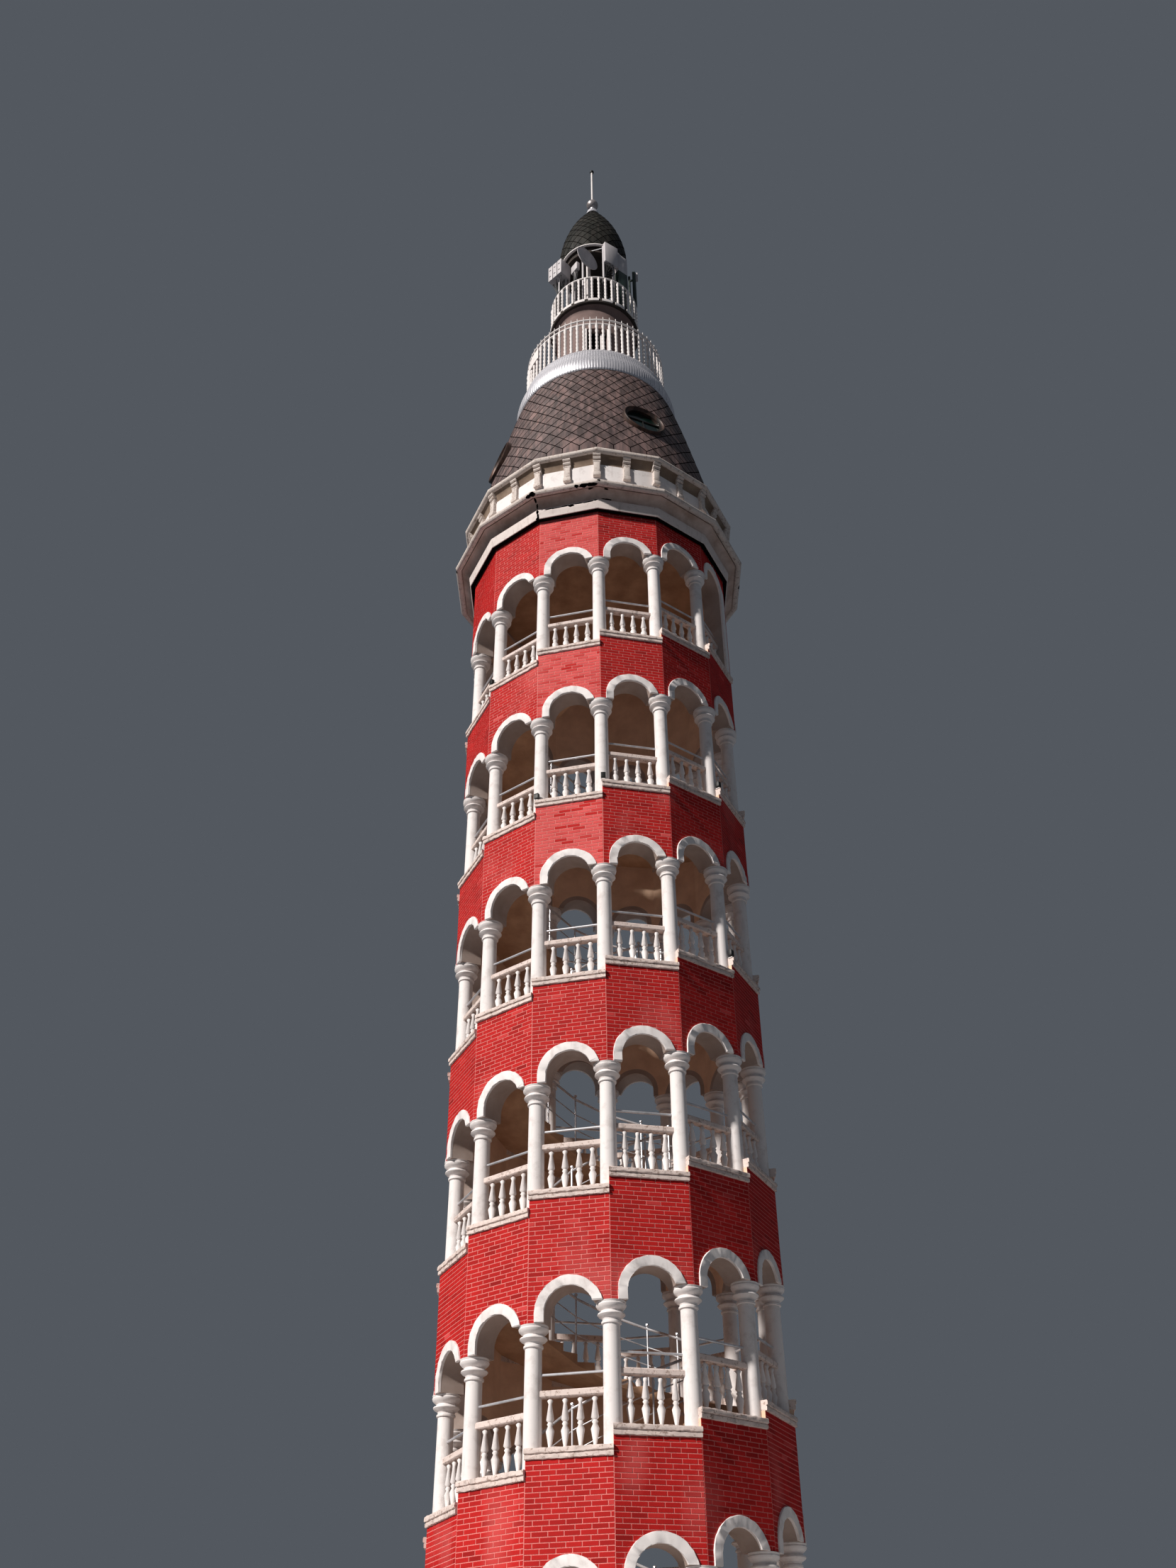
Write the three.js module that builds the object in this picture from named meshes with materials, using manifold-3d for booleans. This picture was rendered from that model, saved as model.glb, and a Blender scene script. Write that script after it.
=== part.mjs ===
import * as THREE from 'three';
import { mergeVertices } from 'three/addons/utils/BufferGeometryUtils.js';
import Module from 'manifold-3d';

// A brick minaret with fourteen sides. An arcade climbs round it as a helix, one storey a turn,
// with a stair inside the wall, and a shingled dome, two balconies and a lantern stand on top.
// Millimetres, +Z up, origin on the ground at the axis. The view of the photograph looks along +Y.

const wasm = await Module();
wasm.setup();

// Plan of the shaft
const SIDES = 14;
const SIDE_ANGLE = (2 * Math.PI) / SIDES;
const CORNER_RADIUS = 2700;
const WALL_FACE = CORNER_RADIUS * Math.cos(SIDE_ANGLE / 2);
const WALL_THICKNESS = 382;
const WALL_INSIDE = WALL_FACE - WALL_THICKNESS;
const WELL_FACE = 1250;
const SEAT_GAP = 0.4;
const CUT_MARGIN = 20;

// The helix: bay k spans corners k and k + 1, and its sill lies at BAY_RISE * (k - DOOR_BAY).
// MITRE_GAP is the share of a bay left open at a corner where pieces of two nodes meet.
const BAY_RISE = 250;
const DOOR_BAY = -9;
const LAST_BAY = 72;
const FRONT_BAY_OF_THIRD_TURN = 42;
const TURNS = 6;
const MITRE_GAP = 0.0006;
const WALL_TOP = 23100;

// Heights in one bay, from the underside of its sill
const SILL_HEIGHT = 140;
const SILL_PROUD = 50;
const RAIL_BOTTOM = 800;
const RAIL_HEIGHT = 90;
const RAIL_DEPTH = 120;
const CAPITAL_TOP = 2160;
const CAPITAL_GAIN_PER_TURN = 80;
const ARCH_RADIUS = 360;
const ARCH_SEGMENTS = 6;
const ARCH_CUT = { below: 4000, behind: 300, depth: 1000 };

// Columns
const COLUMN_SIDES = 6;
const SHAFT_RADIUS = 130;
const SHAFT_TOP_RADIUS = 120;
const CAPITAL_RADIUS = 214;
const CAPITAL_HEIGHT = 240;

// Ground
const SLAB_HEIGHT = 150;
const SLAB_PROUD = 100;

// Stair and its railing round the open well
const TREADS_PER_BAY = 2;
const FIRST_TREAD = 25;
const STAIR_DEPTH = 180;
const RAIL_POST = 44;
const RAIL_POST_HEIGHT = 930;
const RAIL_FACE = 1300;
const POST_SPACING = 2;

// Cornice, from below: a gap, a fascia, a cove, a roll, the frieze with its brackets, and a roll
const CORNICE_INSIDE = 2400;
const GAP_FACE = 2620;
const FASCIA_FACE = 2790;
const FASCIA_BOTTOM = 23200;
const COVE_LIP_BOTTOM = 23500;
const COVE_TOP = 23560;
const CEILING_THICKNESS = 200;
const ROLL_RADIUS = 85;
const ROLL_SIDES = 8;
const LOWER_ROLL_RADIUS = 3060;
const LOWER_ROLL_HEIGHT = 23540;
const FRIEZE_INSIDE = 2450;
const FRIEZE_FOOT_FACE = 2930;
const FRIEZE_FOOT_HEIGHT = 90;
const FRIEZE_SPLAY = 40;
const FRIEZE_FACE = 2800;
const FRIEZE_TOP = 24660;
const FRIEZE_LIP = 60;
const UPPER_ROLL_RADIUS = 2830;
const BRACKET_WIDTH = 170;
const BRACKET_PROUD = 130;
const BRACKET_BOTTOM = 23900;
const BRACKET_HEIGHT = 700;

// Main dome, from its foot up: [radius, height] on the outer face
const DOME_SIDES = 24;
const DOME_SHELL = 80;
const DOME_PROFILE = [
  [2720, FRIEZE_TOP + SEAT_GAP],
  [2640, 25250],
  [2515, 25950],
  [2340, 26750],
  [2150, 27600],
  [1945, 28400],
  [1868, 28640],
];
const OCULUS_RADIUS = 500;
const OCULUS_OPENING = 400;
const OCULUS_HEIGHT = 26450;
const OCULUS_FACE = 2406;
const OCULUS_PROUD = 60;
const OCULUS_DEPTH = 300;
const OCULUS_LEAN = 12.3;
const OCULUS_SIDES = 12;
const OCULUS_FIRST_CORNER = 1;
const OCULUS_COUNT = 4;

// Lower balcony: the metal roll, from its seat on the dome up: [radius, height] on the outer face
const ROLL_SEAT = DOME_PROFILE[DOME_PROFILE.length - 1][1] + SEAT_GAP;
const METAL_ROLL_PROFILE = [
  [1860, ROLL_SEAT],
  [1866, 28760],
  [1848, 28960],
  [1806, 29200],
  [1764, 29380],
  [1716, 29520],
  [1664, 29600],
];
const METAL_ROLL_TOP = METAL_ROLL_PROFILE[METAL_ROLL_PROFILE.length - 1][1];
const METAL_ROLL_INSIDE = 1600;
const BALCONY_BOTTOM = 29040;
const BALCONY_INSIDE = 1400;
const BALCONY_TOP = 29620;
const LOWER_RAIL_RADIUS = 1650;
const LOWER_RAIL_TOP = 30760;
const LOWER_RAIL_HEIGHT = 190;
const LOWER_POSTS = 20;
const BALUSTER_WIDTH = 50;
const RAIL_OVERHANG = 5;

// Drum, upper balcony and lantern
const DRUM_RADIUS = 950;
const DRUM_WALL = 150;
const DRUM_DOOR_WIDTH = 560;
const DRUM_DOOR_HEIGHT = 1750;
const DRUM_DOOR_ASIDE = 60;
const UPPER_SLAB_BOTTOM = 32200;
const UPPER_SLAB_TOP = 32340;
const UPPER_SLAB_RADIUS = 1135;
const UPPER_SLAB_SPLAY = 20;
const UPPER_SLAB_EDGE = 110;
const UPPER_RAIL_RADIUS = 1080;
const UPPER_RAIL_TOP = 33270;
const UPPER_RAIL_HEIGHT = 50;
const UPPER_POSTS = 16;
const LANTERN_SIDES = 16;
const LANTERN_INSIDE = 650;
const LANTERN_OUTSIDE = 770;
const LANTERN_PLINTH = 500;
const LANTERN_HEAD = 120;
const LANTERN_POSTS = 6;
const LANTERN_FIRST_POST = -10.6;
const LANTERN_POST = { depth: 90, width: 130, circle: 710 };
const EAVE_SIDES = 20;
const EAVE_BOTTOM = 34960;
const EAVE_TOP = 35060;
const EAVE_RADIUS = 880;
const EAVE_SPLAY = 40;
const EAVE_SPLAY_HEIGHT = 30;

// Aerials and cabinets on the upper balcony: the turn of each face from the front in degrees,
// its centre, its size, and for the dish its diameter
const MAST_WIDTH = 60;
const MAST_HEAD = 100;
const LEFT_AERIAL = { turn: -42.5, x: -887, y: -451, width: 480, depth: 350, bottom: 34030, top: 34610 };
const LEFT_AERIAL_PANELS = { count: 3, gap: 14 };
const LEFT_AERIAL_BACK = { narrower: 60, shallower: 120, shorter: 20, behind: 40 };
const RIGHT_AERIAL = { turn: 33.7, x: 446, y: -868, width: 400, depth: 100, bottom: 34060, top: 34870 };
const RIGHT_MASTS = [-190, 100];
const JUNCTION_BOX = { turn: -53, x: -464, y: -770, width: 250, depth: 100, bottom: 33935, top: 34225 };
const CABINET_FOOT = UPPER_SLAB_TOP + SEAT_GAP;
const CABINET = { turn: 38, x: 715, y: -552, width: 300, depth: 150, bottom: CABINET_FOOT, top: 34100 };
const CABINET_HEAD_TOP = 34800;
const SIDE_AERIAL = { turn: 80, x: 1060, y: -190, width: 160, depth: 80, bottom: 33300, top: 34650 };
const SIDE_MAST_BEHIND = 130;
const SIDE_BRACKET = { width: 40, length: 140, height: 50, heights: [33500, 34350] };
const SIDE_RECEIVER = { width: 70, depth: 60, bottom: 34330, top: 34640 };
const DISH = { turn: 45, x: -147, y: -1000, z: 34190, diameter: 700, depth: 90, flat: 0.55, rim: 20 };
const DISH_HUB = { radius: 60, reach: 170, sunk: 20 };
const DISH_SIDES = 16;

// Small dome and finial
const SMALL_DOME_PROFILE = [
  [870, EAVE_TOP + SEAT_GAP],
  [895, 35350],
  [860, 35750],
  [760, 36200],
  [600, 36700],
  [400, 37150],
  [170, 37600],
];
const SMALL_DOME_SIDES = 20;
const CAP_TOP = 37960;
const CAP_PROFILE = [
  [160, CAP_TOP - 210],
  [70, CAP_TOP - 60],
  [60, CAP_TOP],
];
const CAP_FOOT_RADIUS = 185;
const FINIAL_SIDES = 12;
const BALL_RADIUS = 160;
const BALL_HEIGHT = 38120;
const BALL_NECK_RADIUS = 50;
const BALL_FIRST = -Math.PI / 2.6;
const BALL_LAST = Math.PI / 2.3;
const BALL_SEGMENTS = 6;
const ROD_RADIUS = 30;
const ROD_SIDES = 8;
const ROD_TOP = 39810;

const MATERIALS = {
  brick: { color: 0xa93a30, roughness: 0.9, metalness: 0 },
  plaster: { color: 0xe6e2df, roughness: 0.75, metalness: 0 },
  soffit: { color: 0x6d5146, roughness: 0.9, metalness: 0 },
  concrete: { color: 0x8d8378, roughness: 0.95, metalness: 0 },
  steel: { color: 0xb9b9bb, roughness: 0.3, metalness: 0.9 },
  shingle: { color: 0x6a5a58, roughness: 0.55, metalness: 0.4 },
  copper: { color: 0x7a4a36, roughness: 0.45, metalness: 0.8 },
  sheet: { color: 0xbcc2c8, roughness: 0.35, metalness: 0.8 },
  antenna: { color: 0xc9c6c8, roughness: 0.6, metalness: 0 },
  greenSheet: { color: 0x1f332c, roughness: 0.6, metalness: 0.2 },
};

const minaret = new THREE.Group();
minaret.name = 'minaret';

function addNode(name, geometry, finish) {
  const mesh = new THREE.Mesh(geometry, new THREE.MeshStandardMaterial(MATERIALS[finish]));
  mesh.name = name;
  minaret.add(mesh);
  return mesh;
}

function toSolid(geometry) {
  const bare = geometry.clone();
  bare.deleteAttribute('normal');
  bare.deleteAttribute('uv');
  const merged = mergeVertices(bare, 1e-3);
  const mesh = new wasm.Mesh({
    numProp: 3,
    vertProperties: new Float32Array(merged.attributes.position.array),
    triVerts: new Uint32Array(merged.index.array),
  });
  return new wasm.Manifold(mesh);
}

function toGeometry(solid) {
  const mesh = solid.getMesh();
  const geometry = new THREE.BufferGeometry();
  geometry.setAttribute('position', new THREE.BufferAttribute(new Float32Array(mesh.vertProperties), 3));
  geometry.setIndex(new THREE.BufferAttribute(new Uint32Array(mesh.triVerts), 1));
  return geometry;
}

function joinSolids(solids) {
  return solids.slice(1).reduce((whole, solid) => whole.add(solid), solids[0]);
}

function join(geometries) {
  return joinSolids(geometries.map(toSolid));
}

// Angles and corners: corner 0 faces the front, and corners count anticlockwise from above

function cornerAngle(corner) {
  return -Math.PI / 2 + corner * SIDE_ANGLE;
}

function planPoint(face, corner) {
  const fromMiddle = (corner - Math.floor(corner) - 0.5) * SIDE_ANGLE;
  const radius = face / Math.cos(fromMiddle);
  const wrapped = ((corner % SIDES) + SIDES) % SIDES;
  return [radius * Math.cos(cornerAngle(wrapped)), radius * Math.sin(cornerAngle(wrapped))];
}

function sillHeight(bay) {
  return BAY_RISE * (bay - DOOR_BAY);
}

function capitalHeight(corner) {
  const turnsAbove = (Math.max(corner, SIDES) - FRONT_BAY_OF_THIRD_TURN) / SIDES;
  return sillHeight(corner - 1) + CAPITAL_TOP + CAPITAL_GAIN_PER_TURN * turnsAbove;
}

// Where a bay's pieces end: at its right corner, or just short of it in the last bay of a turn
function bayEnd(bay) {
  const endsTurn = (bay + 1 - DOOR_BAY) % SIDES === 0 || bay === LAST_BAY;
  return endsTurn ? bay + 1 - MITRE_GAP : bay + 1;
}

function baysOfTurn(turn) {
  const first = DOOR_BAY + SIDES * turn;
  const last = Math.min(first + SIDES - 1, LAST_BAY);
  return Array.from({ length: last - first + 1 }, (_, i) => first + i);
}

// A prism whose foot and head may slope: one bottom and one top height for each outline point
function slopedPrism(outline, bottoms, tops) {
  const shape = new THREE.Shape(outline.map(([x, y]) => new THREE.Vector2(x, y)));
  const geometry = new THREE.ExtrudeGeometry(shape, { depth: 1, bevelEnabled: false });
  const position = geometry.attributes.position;
  for (let i = 0; i < position.count; i += 1) {
    const distances = outline.map(([x, y]) => Math.hypot(x - position.getX(i), y - position.getY(i)));
    const nearest = distances.indexOf(Math.min(...distances));
    position.setZ(i, position.getZ(i) < 0.5 ? bottoms[nearest] : tops[nearest]);
  }
  return geometry;
}

// A stretch of ring between two corners, with level foot and head unless end heights are given
function ringStretch(from, to, inside, outside, bottom, top, bottomTo = bottom, topTo = top) {
  const outline = [
    planPoint(inside, from),
    planPoint(outside, from),
    planPoint(outside, to),
    planPoint(inside, to),
  ];
  return slopedPrism(outline, [bottom, bottom, bottomTo, bottomTo], [top, top, topTo, topTo]);
}

function lathe(profile, sides, corner = 0) {
  const points = profile.map(([r, z]) => new THREE.Vector2(r, z));
  const geometry = new THREE.LatheGeometry(points, sides);
  geometry.rotateX(Math.PI / 2);
  geometry.rotateZ(cornerAngle(corner) + Math.PI / 2);
  return geometry;
}

function ringProfile(inner, outer, bottom, top) {
  return [[inner, bottom], [outer, bottom], [outer, top], [inner, top], [inner, bottom]];
}

// An octagon with flats to the outside, top and bottom, and its back no nearer than inside
function rollProfile(radius, height, inside) {
  const points = [];
  const reach = ROLL_RADIUS / Math.cos(Math.PI / ROLL_SIDES);
  for (let i = 0; i <= ROLL_SIDES; i += 1) {
    const angle = ((2 * i - 1) * Math.PI) / ROLL_SIDES;
    points.push([Math.max(radius + reach * Math.cos(angle), inside), height + reach * Math.sin(angle)]);
  }
  return points;
}

function box(width, depth, height, x, y, z, angle = 0) {
  const geometry = new THREE.BoxGeometry(width, depth, height);
  geometry.translate(0, 0, height / 2);
  geometry.rotateZ(angle);
  geometry.translate(x, y, z);
  return geometry;
}

function polar(radius, angle, z) {
  return [radius * Math.cos(angle), radius * Math.sin(angle), z];
}

// Brick wall over the arches of one turn, up to the sills of the next turn

function archCutter(bay) {
  const leftFoot = capitalHeight(bay);
  const rightFoot = capitalHeight(bay + 1);
  const spring = (leftFoot + rightFoot) / 2;
  const below = Math.min(leftFoot, rightFoot) - ARCH_CUT.below;
  const reach = CORNER_RADIUS;
  const shape = new THREE.Shape();
  const leftEdge = bay === DOOR_BAY ? -ARCH_RADIUS : -reach;
  const rightEdge = bay === LAST_BAY ? ARCH_RADIUS : reach;
  shape.moveTo(leftEdge, below);
  shape.lineTo(rightEdge, below);
  if (rightEdge === reach) {
    shape.lineTo(reach, rightFoot + SEAT_GAP);
    shape.lineTo(Math.sqrt(ARCH_RADIUS ** 2 - (rightFoot + SEAT_GAP - spring) ** 2), rightFoot + SEAT_GAP);
  } else {
    shape.lineTo(ARCH_RADIUS, spring);
  }
  const firstAngle = rightEdge === reach ? Math.asin((rightFoot + SEAT_GAP - spring) / ARCH_RADIUS) : 0;
  for (let i = 1; i <= ARCH_SEGMENTS; i += 1) {
    const angle = firstAngle + ((Math.PI - firstAngle) * i) / ARCH_SEGMENTS;
    shape.lineTo(ARCH_RADIUS * Math.cos(angle), spring + ARCH_RADIUS * Math.sin(angle));
  }
  if (leftEdge === -reach) {
    shape.lineTo(-ARCH_RADIUS, leftFoot + SEAT_GAP);
    shape.lineTo(-reach, leftFoot + SEAT_GAP);
  }
  const geometry = new THREE.ExtrudeGeometry(shape, { depth: ARCH_CUT.depth, bevelEnabled: false });
  const angle = cornerAngle(bay + 0.5);
  const tangent = new THREE.Vector3(-Math.sin(angle), Math.cos(angle), 0);
  const outward = new THREE.Vector3(Math.cos(angle), Math.sin(angle), 0);
  const basis = new THREE.Matrix4().makeBasis(tangent, new THREE.Vector3(0, 0, 1), outward);
  basis.setPosition(outward.clone().multiplyScalar(WALL_INSIDE - ARCH_CUT.behind));
  geometry.applyMatrix4(basis);
  return geometry;
}

function wallTopOver(bay) {
  return bay + SIDES <= LAST_BAY ? sillHeight(bay + SIDES) - SEAT_GAP : WALL_TOP;
}

function wallFootUnder(bay) {
  if (bay === DOOR_BAY) {
    return SLAB_HEIGHT + SEAT_GAP;
  }
  if (bay === LAST_BAY) {
    return sillHeight(bay) + SILL_HEIGHT + SEAT_GAP;
  }
  return capitalHeight(bay) + SEAT_GAP;
}

function brickBand(turn) {
  const panels = baysOfTurn(turn).map((bay) => {
    const panel = toSolid(
      ringStretch(bay, bayEnd(bay), WALL_INSIDE, WALL_FACE, wallFootUnder(bay), wallTopOver(bay)),
    );
    return panel.subtract(toSolid(archCutter(bay)));
  });
  return joinSolids(panels);
}

// White arcade of one turn: sills, columns with their capitals, and the rail between them

const WALL_MIDDLE = WALL_FACE - WALL_THICKNESS / 2;
const COLUMN_CENTRE = WALL_MIDDLE / Math.cos(SIDE_ANGLE / 2);

function columnGeometry(corner, foot) {
  const top = capitalHeight(corner);
  const profile = [
    [0, foot],
    [SHAFT_RADIUS, foot],
    [SHAFT_TOP_RADIUS, top - CAPITAL_HEIGHT],
    [CAPITAL_RADIUS, top],
    [0, top],
  ];
  const geometry = lathe(profile, COLUMN_SIDES, corner);
  const [x, y] = polar(COLUMN_CENTRE, cornerAngle(corner), 0);
  geometry.translate(x, y, 0);
  return geometry;
}

function columnFoot(corner) {
  return corner - 1 === DOOR_BAY ? SLAB_HEIGHT + SEAT_GAP : sillHeight(corner - 1) + SILL_HEIGHT / 2;
}

// A column stands on the lower sill at its left, so its right half ends on the wall or sill there
function columnOnSill(corner) {
  const foot = columnFoot(corner);
  const startsTurn = (corner - DOOR_BAY) % SIDES === 0;
  const seat = sillHeight(corner) + (startsTurn ? SILL_HEIGHT : 0) + SEAT_GAP;
  const angle = cornerAngle(corner);
  const reach = 2 * SHAFT_RADIUS;
  const shift = reach / 2 - SEAT_GAP;
  const x = COLUMN_CENTRE * Math.cos(angle) - shift * Math.sin(angle);
  const y = COLUMN_CENTRE * Math.sin(angle) + shift * Math.cos(angle);
  const cutter = box(2 * reach, reach, seat - foot + CUT_MARGIN, x, y, foot - CUT_MARGIN, angle);
  return toSolid(columnGeometry(corner, foot)).subtract(toSolid(cutter));
}

function railStretch(bay) {
  const bottom = sillHeight(bay) + RAIL_BOTTOM;
  const inner = WALL_MIDDLE - RAIL_DEPTH / 2;
  const outer = WALL_MIDDLE + RAIL_DEPTH / 2;
  const startsTurn = (bay - DOOR_BAY) % SIDES === 0;
  const columnFlat = SHAFT_RADIUS * Math.cos(Math.PI / COLUMN_SIDES);
  const pastColumn = Math.asin((columnFlat + SEAT_GAP) / inner) / SIDE_ANGLE;
  const toPier = 0.5 + Math.atan((ARCH_RADIUS - SEAT_GAP) / outer) / SIDE_ANGLE;
  const from = startsTurn ? bay + pastColumn : bay;
  const to = bay === LAST_BAY ? bay + toPier : bayEnd(bay);
  return ringStretch(from, to, inner, outer, bottom, bottom + RAIL_HEIGHT);
}

function arcade(turn) {
  const solids = [];
  for (const bay of baysOfTurn(turn)) {
    if (bay !== DOOR_BAY) {
      const sill = sillHeight(bay);
      const outside = WALL_FACE + SILL_PROUD;
      const end = bay + 1 - MITRE_GAP;
      solids.push(toSolid(ringStretch(bay, end, WALL_INSIDE, outside, sill, sill + SILL_HEIGHT)));
      solids.push(toSolid(railStretch(bay)));
    }
    if (bay !== LAST_BAY) {
      solids.push(columnOnSill(bay + 1));
    }
  }
  return joinSolids(solids);
}

// Helical stair with a smooth soffit, against the inside of the wall

function stairSoffit(corner) {
  const height = BAY_RISE * (corner - DOOR_BAY) + FIRST_TREAD - STAIR_DEPTH;
  return Math.max(height, SLAB_HEIGHT + SEAT_GAP);
}

function stairFlight(turn) {
  const treadRise = BAY_RISE / TREADS_PER_BAY;
  const pieces = [];
  for (const bay of baysOfTurn(turn)) {
    for (let tread = 0; tread < TREADS_PER_BAY && bay !== DOOR_BAY; tread += 1) {
      const from = bay + tread / TREADS_PER_BAY;
      const to = tread + 1 < TREADS_PER_BAY ? bay + (tread + 1) / TREADS_PER_BAY : bayEnd(bay);
      const top = sillHeight(bay) + FIRST_TREAD + treadRise * tread;
      const outer = WALL_INSIDE - SEAT_GAP;
      pieces.push(ringStretch(from, to, WELL_FACE, outer, stairSoffit(from), top, stairSoffit(to), top));
    }
  }
  return join(pieces);
}

function wellRailing(turn) {
  const bays = baysOfTurn(turn).filter((bay) => bay !== DOOR_BAY);
  const outer = RAIL_FACE + RAIL_POST / 2;
  const inner = RAIL_FACE - RAIL_POST / 2;
  const railBottom = RAIL_POST_HEIGHT - RAIL_POST;
  const pieces = bays.map((bay) => {
    const bottom = sillHeight(bay) + railBottom;
    const next = bottom + BAY_RISE;
    return ringStretch(bay, bayEnd(bay), inner, outer, bottom, bottom + RAIL_POST, next, next + RAIL_POST);
  });
  for (const bay of bays.filter((_, i) => i % POST_SPACING === 0)) {
    const angle = cornerAngle(bay + 0.25);
    const [x, y] = polar(RAIL_FACE / Math.cos(SIDE_ANGLE / 4), angle, 0);
    const foot = sillHeight(bay) + FIRST_TREAD + SEAT_GAP;
    const height = railBottom + BAY_RISE / 4 + RAIL_POST / 2 - FIRST_TREAD;
    pieces.push(box(RAIL_POST * 0.8, RAIL_POST * 0.8, height, x, y, foot, cornerAngle(bay + 0.5)));
  }
  return join(pieces);
}

// Ground

function groundWall() {
  const pieces = [];
  for (let bay = DOOR_BAY + 1; bay < DOOR_BAY + SIDES; bay += 1) {
    const top = sillHeight(bay) - SEAT_GAP;
    pieces.push(ringStretch(bay, bayEnd(bay), WALL_INSIDE, WALL_FACE, SLAB_HEIGHT + SEAT_GAP, top));
  }
  return join(pieces);
}

addNode('ground_slab', lathe(
  [[0, 0], [CORNER_RADIUS + SLAB_PROUD, 0], [CORNER_RADIUS + SLAB_PROUD, SLAB_HEIGHT], [0, SLAB_HEIGHT]],
  SIDES,
), 'concrete');
addNode('ground_wall', toGeometry(groundWall()), 'brick');
for (let turn = 0; turn < TURNS; turn += 1) {
  addNode(`brick_band_${turn + 1}`, toGeometry(brickBand(turn)), 'brick');
  addNode(`arcade_${turn + 1}`, toGeometry(arcade(turn)), 'plaster');
  addNode(`stair_${turn + 1}`, toGeometry(stairFlight(turn)), 'soffit');
  addNode(`well_railing_${turn + 1}`, toGeometry(wellRailing(turn)), 'steel');
}

// Cornice

const coveEdge = LOWER_ROLL_RADIUS - ROLL_RADIUS - SEAT_GAP;
addNode('cornice_cove', lathe([
  [CORNICE_INSIDE, WALL_TOP + SEAT_GAP],
  [GAP_FACE, WALL_TOP + SEAT_GAP],
  [GAP_FACE, FASCIA_BOTTOM],
  [FASCIA_FACE, FASCIA_BOTTOM],
  [coveEdge, COVE_LIP_BOTTOM],
  [coveEdge, COVE_TOP],
  [CORNICE_INSIDE, COVE_TOP],
  [CORNICE_INSIDE, WALL_TOP + SEAT_GAP],
], SIDES), 'plaster');
addNode('lower_roll', lathe(
  rollProfile(LOWER_ROLL_RADIUS, LOWER_ROLL_HEIGHT, LOWER_ROLL_RADIUS - ROLL_RADIUS),
  SIDES,
), 'plaster');

function friezeWithBrackets() {
  const pieces = [lathe([
    [FRIEZE_INSIDE, COVE_TOP + SEAT_GAP],
    [FRIEZE_FOOT_FACE, COVE_TOP + SEAT_GAP],
    [FRIEZE_FOOT_FACE, COVE_TOP + FRIEZE_FOOT_HEIGHT],
    [FRIEZE_FACE, COVE_TOP + FRIEZE_FOOT_HEIGHT + FRIEZE_SPLAY],
    [FRIEZE_FACE, FRIEZE_TOP - FRIEZE_LIP],
    [FRIEZE_FACE + FRIEZE_LIP, FRIEZE_TOP - FRIEZE_LIP],
    [FRIEZE_FACE + FRIEZE_LIP, FRIEZE_TOP],
    [FRIEZE_INSIDE, FRIEZE_TOP],
    [FRIEZE_INSIDE, COVE_TOP + SEAT_GAP],
  ], SIDES)];
  for (let half = 0; half < 2 * SIDES; half += 1) {
    const corner = half / 2;
    const face = Number.isInteger(corner) ? FRIEZE_FACE : FRIEZE_FACE * Math.cos(SIDE_ANGLE / 2);
    const [x, y] = polar(face, cornerAngle(corner), 0);
    pieces.push(
      box(2 * BRACKET_PROUD, BRACKET_WIDTH, BRACKET_HEIGHT, x, y, BRACKET_BOTTOM, cornerAngle(corner)),
    );
  }
  return join(pieces);
}

addNode('frieze', toGeometry(friezeWithBrackets()), 'plaster');
const backOfUpperRoll = (DOME_PROFILE[0][0] + 1) / Math.cos(SIDE_ANGLE / 2);
addNode('upper_roll', lathe(
  rollProfile(UPPER_ROLL_RADIUS, FRIEZE_TOP + SEAT_GAP + ROLL_RADIUS, backOfUpperRoll),
  SIDES,
), 'plaster');
addNode('top_ceiling', lathe([
  [0, COVE_TOP - CEILING_THICKNESS],
  [CORNICE_INSIDE - 2 * SEAT_GAP, COVE_TOP - CEILING_THICKNESS],
  [CORNICE_INSIDE - 2 * SEAT_GAP, COVE_TOP],
  [0, COVE_TOP],
], SIDES), 'soffit');

// Main dome with its round windows

function oculusTube(radius, depth, angle) {
  const geometry = new THREE.CylinderGeometry(radius, radius, depth, OCULUS_SIDES);
  const lean = THREE.MathUtils.degToRad(OCULUS_LEAN);
  const outwards = OCULUS_PROUD - OCULUS_DEPTH / 2;
  geometry.rotateZ(Math.PI / 2);
  geometry.rotateY(-lean);
  geometry.rotateZ(angle);
  const middle = OCULUS_FACE + outwards * Math.cos(lean);
  geometry.translate(...polar(middle, angle, OCULUS_HEIGHT + outwards * Math.sin(lean)));
  return geometry;
}

function oculusAngles() {
  const first = cornerAngle(OCULUS_FIRST_CORNER);
  return Array.from({ length: OCULUS_COUNT }, (_, i) => first + (i * 2 * Math.PI) / OCULUS_COUNT);
}

function mainDome() {
  const inner = DOME_PROFILE.filter((_, i) => i % 3 === 0).map(([r, z]) => [r - DOME_SHELL, z]).reverse();
  const shell = toSolid(lathe([...DOME_PROFILE, ...inner, DOME_PROFILE[0]], DOME_SIDES));
  return oculusAngles().reduce(
    (dome, angle) => dome.subtract(toSolid(oculusTube(OCULUS_RADIUS + SEAT_GAP, 3 * OCULUS_DEPTH, angle))),
    shell,
  );
}

addNode('main_dome', toGeometry(mainDome()), 'shingle');
oculusAngles().forEach((angle, i) => {
  const ring = toSolid(oculusTube(OCULUS_RADIUS, OCULUS_DEPTH, angle));
  const frame = ring.subtract(toSolid(oculusTube(OCULUS_OPENING, 2 * OCULUS_DEPTH, angle)));
  addNode(`oculus_frame_${i + 1}`, toGeometry(frame), 'copper');
});

// Lower balcony

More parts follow.
